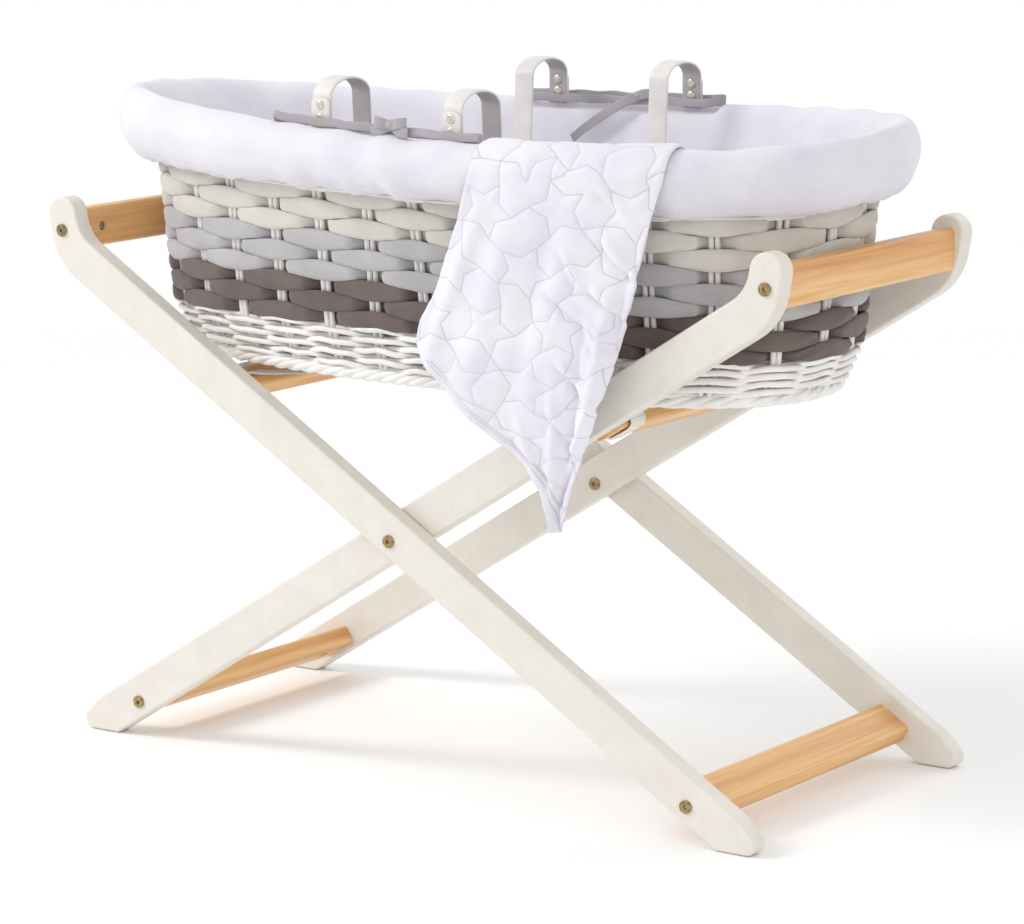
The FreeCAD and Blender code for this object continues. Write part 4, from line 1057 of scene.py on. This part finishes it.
# the ties' turns, as steps from their knot
BOW_LOOP = ((3, -1, 0), (9, -4, 2), (15, -3, 3), (18, 0, 3), (15, 2.4, 2), (9, 2.4, 1), (3, 1, 0))
BOW_TAIL = ((3, 0, -1), (9, -2.5, -4), (16, -2.5, -6), (21, -1.5, -6.5))
FAR_LOOP = ((0, 0, 0), (6, -2, 2), (15, -2, 3), (17, 0, 3), (13, 2, 2), (0, 1, 0))
FAR_TAIL = ((0, 0, 0), (-13, -9, -7), (-31, -16, -19), (-49, -21, -32), (-64, -24, -44))


def ribbon(name, middle, steps, side=1, wide=(0, 0, 1)):
    """A flat tie from a knot; wide is the direction of its width."""
    path = smooth_path(np.array(middle) + np.array(steps) * (side, 1, 1), 60)
    soup = Soup()
    soup.band(path, wide, RIBBON_WIDTH, RIBBON_THICK, sides=10)
    piece = soup.piece(name, "grey_cotton")


def knot(name, middle, size, replaced):
    """A tied knot: a folded barrel of cloth, creased round its waist."""
    around = 2 * np.pi * np.arange(24) / 24
    rings = []
    for angle in np.linspace(0, math.pi, 28):
        pinch = 1 + 0.10 * np.sin(4 * around + 5 * angle)
        reach = np.sin(angle) ** 0.7 * pinch
        rings.append(np.stack([np.full(24, middle[0] - size[0] * math.cos(angle)),
                               middle[1] + size[1] * reach * np.cos(around),
                               middle[2] + size[2] * reach * np.sin(around)], -1))
    soup = Soup()
    soup.grid(np.array(rings), (False, True), True)
    soup.piece(name, "grey_cotton", replaced, fill=0.7)


def ties():
    """The near slot's bow and the far slot's loosely tied ribbon."""
    low, high = box("near_bow")
    middle = [(a + b) / 2 for a, b in zip(low, high)]
    knot("near_bow_knot", middle, (6, 3.2, 5.0), "near_bow")
    for side, word in ((-1, "left"), (1, "right")):
        ribbon(f"near_bow_loop_{word}", middle, BOW_LOOP, side)
        ribbon(f"near_bow_tail_{word}", middle, BOW_TAIL, side)
    low, high = box("far_ribbon")
    middle = (low.x + 82, high.y - 6, high.z - 5)
    knot("far_ribbon_knot", middle, (5, 3.0, 4.6), "far_ribbon")
    ribbon("far_ribbon_loop", middle, FAR_LOOP)
    ribbon("far_ribbon_tail", middle, FAR_TAIL, wide=(0, 0.3, 1))


# --- mattress ---

MATTRESS_VOXEL = 0.006
MATTRESS_CAP = 0.007
MATTRESS_SHARE = (0.975, 0.96, 0.80)
MATTRESS_DROP = 0.002


def mattress():
    """The foam mattress, swollen by a short cloth simulation."""
    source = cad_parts["mattress"]
    thing = bpy.data.objects.new("soft_mattress", source.data.copy())
    bpy.context.scene.collection.objects.link(thing)
    mesh = thing.data
    points = np.zeros(len(mesh.vertices) * 3)
    mesh.vertices.foreach_get("co", points)
    points = points.reshape(-1, 3)
    middle = (points.min(0) + points.max(0)) / 2
    points = middle + (points - middle) * MATTRESS_SHARE
    points[:, 2] -= MATTRESS_DROP
    mesh.vertices.foreach_set("co", points.ravel())
    bpy.context.view_layer.objects.active = thing
    thing.select_set(True)
    mesh.remesh_voxel_size = MATTRESS_VOXEL
    bpy.ops.object.voxel_remesh()
    swell(thing, MATTRESS_CAP)
    finer = thing.modifiers.new("finer", "SUBSURF")
    finer.levels = 1
    bpy.ops.object.modifier_apply(modifier=finer.name)
    thing.select_set(False)
    thing.data.shade_smooth()
    thing.data.materials.clear()
    thing.data.materials.append(LOOKS["mattress_cover"])
    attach(thing, "basket")
    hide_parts("mattress")


def swell(thing, cap):
    """Blow the piece up a little as cloth, and keep each point within cap of its start."""
    before = np.zeros(len(thing.data.vertices) * 3)
    thing.data.vertices.foreach_get("co", before)
    cloth = thing.modifiers.new("cloth", "CLOTH")
    cloth.settings.use_pressure = True
    cloth.settings.uniform_pressure_force = 4.0
    cloth.settings.effector_weights.gravity = 0.0
    scene = bpy.context.scene
    for number in range(1, 21):
        scene.frame_set(number)
    bpy.ops.object.modifier_apply(modifier=cloth.name)
    after = np.zeros(len(before))
    thing.data.vertices.foreach_get("co", after)
    moved = (after - before).reshape(-1, 3)
    reach = np.linalg.norm(moved, axis=1, keepdims=True)
    moved *= np.minimum(1, cap / np.maximum(reach, 1e-9))
    thing.data.vertices.foreach_set("co", (before.reshape(-1, 3) + moved).ravel())
    thing.data.update()
    scene.frame_set(1)


# --- coverlet ---

# the hanging part's edges, as height and place along the basket, from the top down
LEFT_EDGE = [(640, 129), (627, 126), (600, 115), (567, 106), (497, 82), (465, 63), (446, 59),
             (430, 66), (391, 104), (340, 173), (318, 191), (296, 197), (279, 199)]
RIGHT_EDGE = [(640, 326), (626, 318), (614, 302), (571, 290), (499, 276), (435, 257),
              (399, 244), (351, 230), (301, 218), (288, 213), (279, 207)]
COVERLET_GAP = 2.5
COVERLET_THICK = 3.6
COLUMNS = 220
HANGING_ROWS = 300
RIM_ROWS = 150
STAR_RADIUS = 29.0
STAR_PITCH = 66.0
# folds of the hanging part: top and bottom of each ridge (along, height), half width, depth
FOLDS = (
    ((300, 596), (256, 330), 7, 6.0),
    ((276, 560), (236, 330), 5, -4.5),
    ((258, 520), (216, 288), 6, 5.5),
    ((232, 500), (209, 285), 5, -5.0),
    ((268, 470), (212, 330), 4.5, 4.0),
    ((262, 430), (205, 300), 4.5, -4.5),
    ((200, 440), (204, 285), 5, 4.5),
    ((180, 610), (120, 430), 16, 4.0),
    ((140, 600), (76, 440), 9, 4.0),
    ((214, 620), (160, 400), 12, -3.5),
    ((150, 420), (196, 310), 5, 3.5),
)


# short slanting creases of the hanging part: their ends (along, height) and depth
CREASES = (
    ((244, 598), (264, 578), 2.2),
    ((246, 552), (276, 517), 3.4),
    ((210, 543), (225, 508), 2.2),
    ((196, 502), (249, 459), 3.4),
    ((238, 505), (268, 478), 2.8),
    ((206, 436), (244, 392), 3.4),
    ((228, 470), (252, 436), 2.6),
    ((160, 364), (211, 325), 2.8),
    ((196, 392), (226, 352), 2.6),
)
CREASE_WIDTH = 5.5


def crease_relief(along, height):
    """A ridge and a groove side by side along each crease, fading at its ends."""
    relief = np.zeros(np.shape(along))
    for (top_x, top_z), (low_x, low_z), depth in CREASES:
        run = np.array([low_x - top_x, low_z - top_z], float)
        length = np.linalg.norm(run)
        run = run / length
        forward = (along - top_x) * run[0] + (height - top_z) * run[1]
        aside = (height - top_z) * run[0] - (along - top_x) * run[1]
        window = smooth_step(forward, -8, 10) * (1 - smooth_step(forward, length - 6, length + 12))
        offset = aside / CREASE_WIDTH
        relief += 2.33 * depth * window * offset * np.exp(-offset ** 2)
    return relief


def edge_place(edge, height):
    """Where an edge of the hanging part is along the basket, at a height."""
    table = np.array(edge[::-1], float)
    return np.interp(height, table[:, 0], table[:, 1])


def rim_profile(along):
    """Points of the liner's face from inside the basket to its widest line, near side."""
    rows = []
    for length, width, power, height in LINER_FACE[4:12][::-1]:
        share = along / length
        across = (1 - np.abs(share) ** power) ** (1 / power)
        rows.append(np.stack([-width * across, height + rise(height, share, -across)], -1))
    return np.array(rows)


def star_segments():
    """Five-pointed stars in staggered rows, and lines that join each to its neighbours."""
    random = np.random.RandomState(7)
    segments = []
    centres = []
    for row in range(-1, 11):
        for column in range(-1, 6):
            centre = np.array([
                40 + (column + 0.5 * (row % 2)) * STAR_PITCH + random.uniform(-4, 4),
                row * STAR_PITCH * 0.87 + random.uniform(-4, 4),
            ])
            turn = random.uniform(0, 2 * np.pi / 5)
            size = STAR_RADIUS * random.uniform(0.86, 1.0)
            angles = turn + np.pi / 5 * np.arange(10)
            reach = np.where(np.arange(10) % 2, 0.52, 1.0) * size
            tips = centre + np.stack([np.cos(angles), np.sin(angles)], -1) * reach[:, None]
            segments += list(zip(tips, np.roll(tips, -1, 0)))
            centres.append((centre, tips[::2]))
    for number, (centre, tips) in enumerate(centres):
        for other, other_tips in centres[number + 1:]:
            if np.linalg.norm(centre - other) < STAR_PITCH * 1.15:
                gaps = np.linalg.norm(tips[:, None] - other_tips[None], axis=-1)
                first, second = np.unravel_index(gaps.argmin(), gaps.shape)
                segments.append((tips[first], other_tips[second]))
    return segments


def seam_distance(places, segments):
    """Distance of each place on the cloth from the nearest stitched line."""
    nearest = np.full(places.shape[:-1], 99.0)
    for start, end in segments:
        run = end - start
        offset = places - start
        share = np.clip(offset @ run / (run @ run), 0, 1)
        gap = np.linalg.norm(offset - share[..., None] * run, axis=-1)
        nearest = np.minimum(nearest, gap)
    return nearest


def fold_relief(along, height):
    """Long soft folds that run down the hanging part and grow downwards."""
    relief = np.zeros(np.shape(along))
    for (top_x, top_z), (low_x, low_z), half_width, depth in FOLDS:
        share = np.clip((top_z - height) / (top_z - low_z), 0, 1)
        line = top_x + (low_x - top_x) * share
        grow = smooth_step(-height, -top_z - 5, 90 - top_z)
        relief += depth * grow * np.exp(-((along - line) / half_width) ** 2)
    return relief


# how far the coverlet reaches from its widest outer line over the rim and down inside
TUCK = 136.0
# the height at which it hangs straight and no longer follows the rim's rise
LIFT_FOOT = 281.0


def coverlet_middle():
    """Middle points of the coverlet and the places of those points on the flat cloth."""
    across = np.linspace(0, 1, COLUMNS)
    widest = LINER_FACE[4][3]
    heights = np.concatenate([
        np.full(RIM_ROWS, widest),
        np.linspace(widest, RIGHT_EDGE[-1][0], HANGING_ROWS + 1)[1:],
    ])
    left = edge_place(LEFT_EDGE, heights)
    right = edge_place(RIGHT_EDGE, heights)
    left[:RIM_ROWS] = left[RIM_ROWS]
    right[:RIM_ROWS] = right[RIM_ROWS]
    along = left[:, None] + (right - left)[:, None] * across[None, :]
    profile = rim_profile(along)
    steps = np.linspace(0, len(profile) - 1, 12 * len(profile))
    line = np.stack([catmull(profile, step) for step in steps])
    reached = np.concatenate([
        np.zeros((1, *along.shape)),
        np.cumsum(np.linalg.norm(np.diff(line, axis=0), axis=-1), axis=0),
    ])
    top = reached[-1]
    points = np.zeros((*along.shape, 3))
    points[..., 0] = along
    for column in range(COLUMNS):
        wanted = np.linspace(top[0, column] - TUCK, top[0, column], RIM_ROWS)
        for axis in (0, 1):
            points[:RIM_ROWS, column, axis + 1] = np.interp(
                wanted, reached[:, 0, column], line[:, 0, column, axis])
    fall = heights[RIM_ROWS:, None]
    points[RIM_ROWS:, :, 1] = line[-1, RIM_ROWS:, :, 0]
    lift = line[-1, RIM_ROWS:, :, 1] - widest
    points[RIM_ROWS:, :, 2] = fall + lift * np.clip(
        (fall - LIFT_FOOT) / (widest - LIFT_FOOT), 0, 1)
    down = np.linalg.norm(np.diff(points, axis=0), axis=-1).mean(1)
    down = np.concatenate([[0], np.cumsum(down)])
    places = np.stack([along, np.broadcast_to(down[:, None], along.shape)], -1)
    return points, places, heights


def catmull(rows, step):
    """A smooth value between rows, at a step that may lie between two of them."""
    number = min(int(step), len(rows) - 2)
    return spline(rows[max(number - 1, 0)], rows[number], rows[number + 1],
                  rows[min(number + 2, len(rows) - 1)], step - number)


# the oblique hem's two stitched lines, and the band of cloth that they take up
HEM_LINES = (6, 9)
HEM_BAND = 10
PUFF_HEIGHT = 1.5
SEAM_WIDTH = 4.5
SEAM_SINK = 0.7
STITCH_REACH = 1.3


def coverlet():
    """The quilted coverlet: stitched stars, puffed between them, draped over the rim."""
    points, places, heights = coverlet_middle()
    gap = seam_distance(places, star_segments())
    edge_gap = np.minimum(places[..., 0] - places[:, :1, 0],
                          places[:, -1:, 0] - places[..., 0]) * 0.8
    hem_gap = (places[..., 0] - places[:, :1, 0]) * 0.75
    hems = np.minimum(*[np.abs(hem_gap - line) for line in HEM_LINES])
    oblique = heights[:, None] < LEFT_EDGE[7][0]
    gap = np.where((hem_gap < HEM_BAND) & oblique, hems, gap)
    puff = PUFF_HEIGHT * (1 - np.exp(-(gap / SEAM_WIDTH) ** 1.4)) - SEAM_SINK
    normal = unit(np.cross(np.gradient(points, axis=0), np.gradient(points, axis=1)))
    hanging = np.arange(len(points))[:, None] >= RIM_ROWS
    relief = fold_relief(points[..., 0], heights[:, None])
    relief = np.where(hanging, relief + crease_relief(points[..., 0], heights[:, None]), 0.0)
    crumple = waves(places[..., 0] / 300 + places[..., 1] / 900, 51, 3, 9, 6)
    sway = waves(places[..., 1] / 600 - places[..., 0] / 800, 52, 2, 6, 5)
    middle = points + normal * (COVERLET_GAP + COVERLET_THICK / 2)
    middle[..., 1] -= relief + 0.8 * crumple + 0.8 * sway * hanging
    normal = unit(np.cross(np.gradient(middle, axis=0), np.gradient(middle, axis=1)))
    thick = (COVERLET_THICK / 2) * np.clip(edge_gap / 2.5, 0.25, 1) ** 0.5
    front = middle + normal * (thick + puff)[..., None]
    back = middle - normal * (thick + 0.4 * puff)[..., None]
    soup = Soup()
    loop = np.concatenate([front, back[:, ::-1]], 1)
    soup.grid(loop, (False, True))
    columns = loop.shape[1]
    for row in (0, len(loop) - 1):
        for column in range(COLUMNS - 1):
            base = row * columns
            quad = [base + column, base + column + 1, base + columns - 2 - column,
                    base + columns - 1 - column]
            soup.faces.append(quad if row == 0 else quad[::-1])
            soup.places.append(np.zeros((4, 2)))
    piece = soup.piece("quilt", "quilted_cotton", "coverlet")
    seam = piece.data.attributes.new("stitch", "FLOAT", "POINT")
    line = np.clip(STITCH_REACH - gap, 0, 1)
    both = np.concatenate([line, line[:, ::-1]], 1)
    seam.data.foreach_set("value", both.ravel().astype(np.float32))


# --- all of it ---

FLOOR_REACH = 3200.0
FLOOR_LEVEL = -0.6


def floor():
    """A pale floor that fades into the white backdrop away from the stand."""
    soup = Soup()
    reach = np.linspace(-FLOOR_REACH, FLOOR_REACH, 13)
    x, y = np.meshgrid(reach, reach, indexing="ij")
    soup.grid(np.stack([x, y, np.full(x.shape, FLOOR_LEVEL)], -1))
    look = Look("studio_floor", roughness=0.9)
    look.colour(look.tones(look.noise(3), (250, 250, 250), (252, 252, 252), 0.4, 0.6))
    scale = 1 / (FLOOR_REACH * MM)
    middle = look.node("ShaderNodeTexGradient", Vector=look.space((scale, scale, scale)))
    middle.gradient_type = "SPHERICAL"
    cover = look.ramp(middle.outputs["Fac"], [(0.05, (0, 0, 0, 1)), (0.62, (1, 1, 1, 1))])
    look.tree.links.new(cover, look.shader.inputs["Alpha"])
    soup.piece("studio_floor", None, body=None)


def build():
    add_camera()
    add_lights()
    add_world()
    make_looks()
    floor()
    dress_stand()
    for word in ("near", "far"):
        webbing_strap(word)
    upright_canes()
    for number in range(1, ROW_COUNT + 1):
        woven_row(number)
    willow_band()
    bottom_border()
    rim_border()
    woven_base()
    liner()
    for word in ("near", "far"):
        handle_strap(word)
        handle_ends(word)
        binding(word)
    ties()
    mattress()
    coverlet()


build()
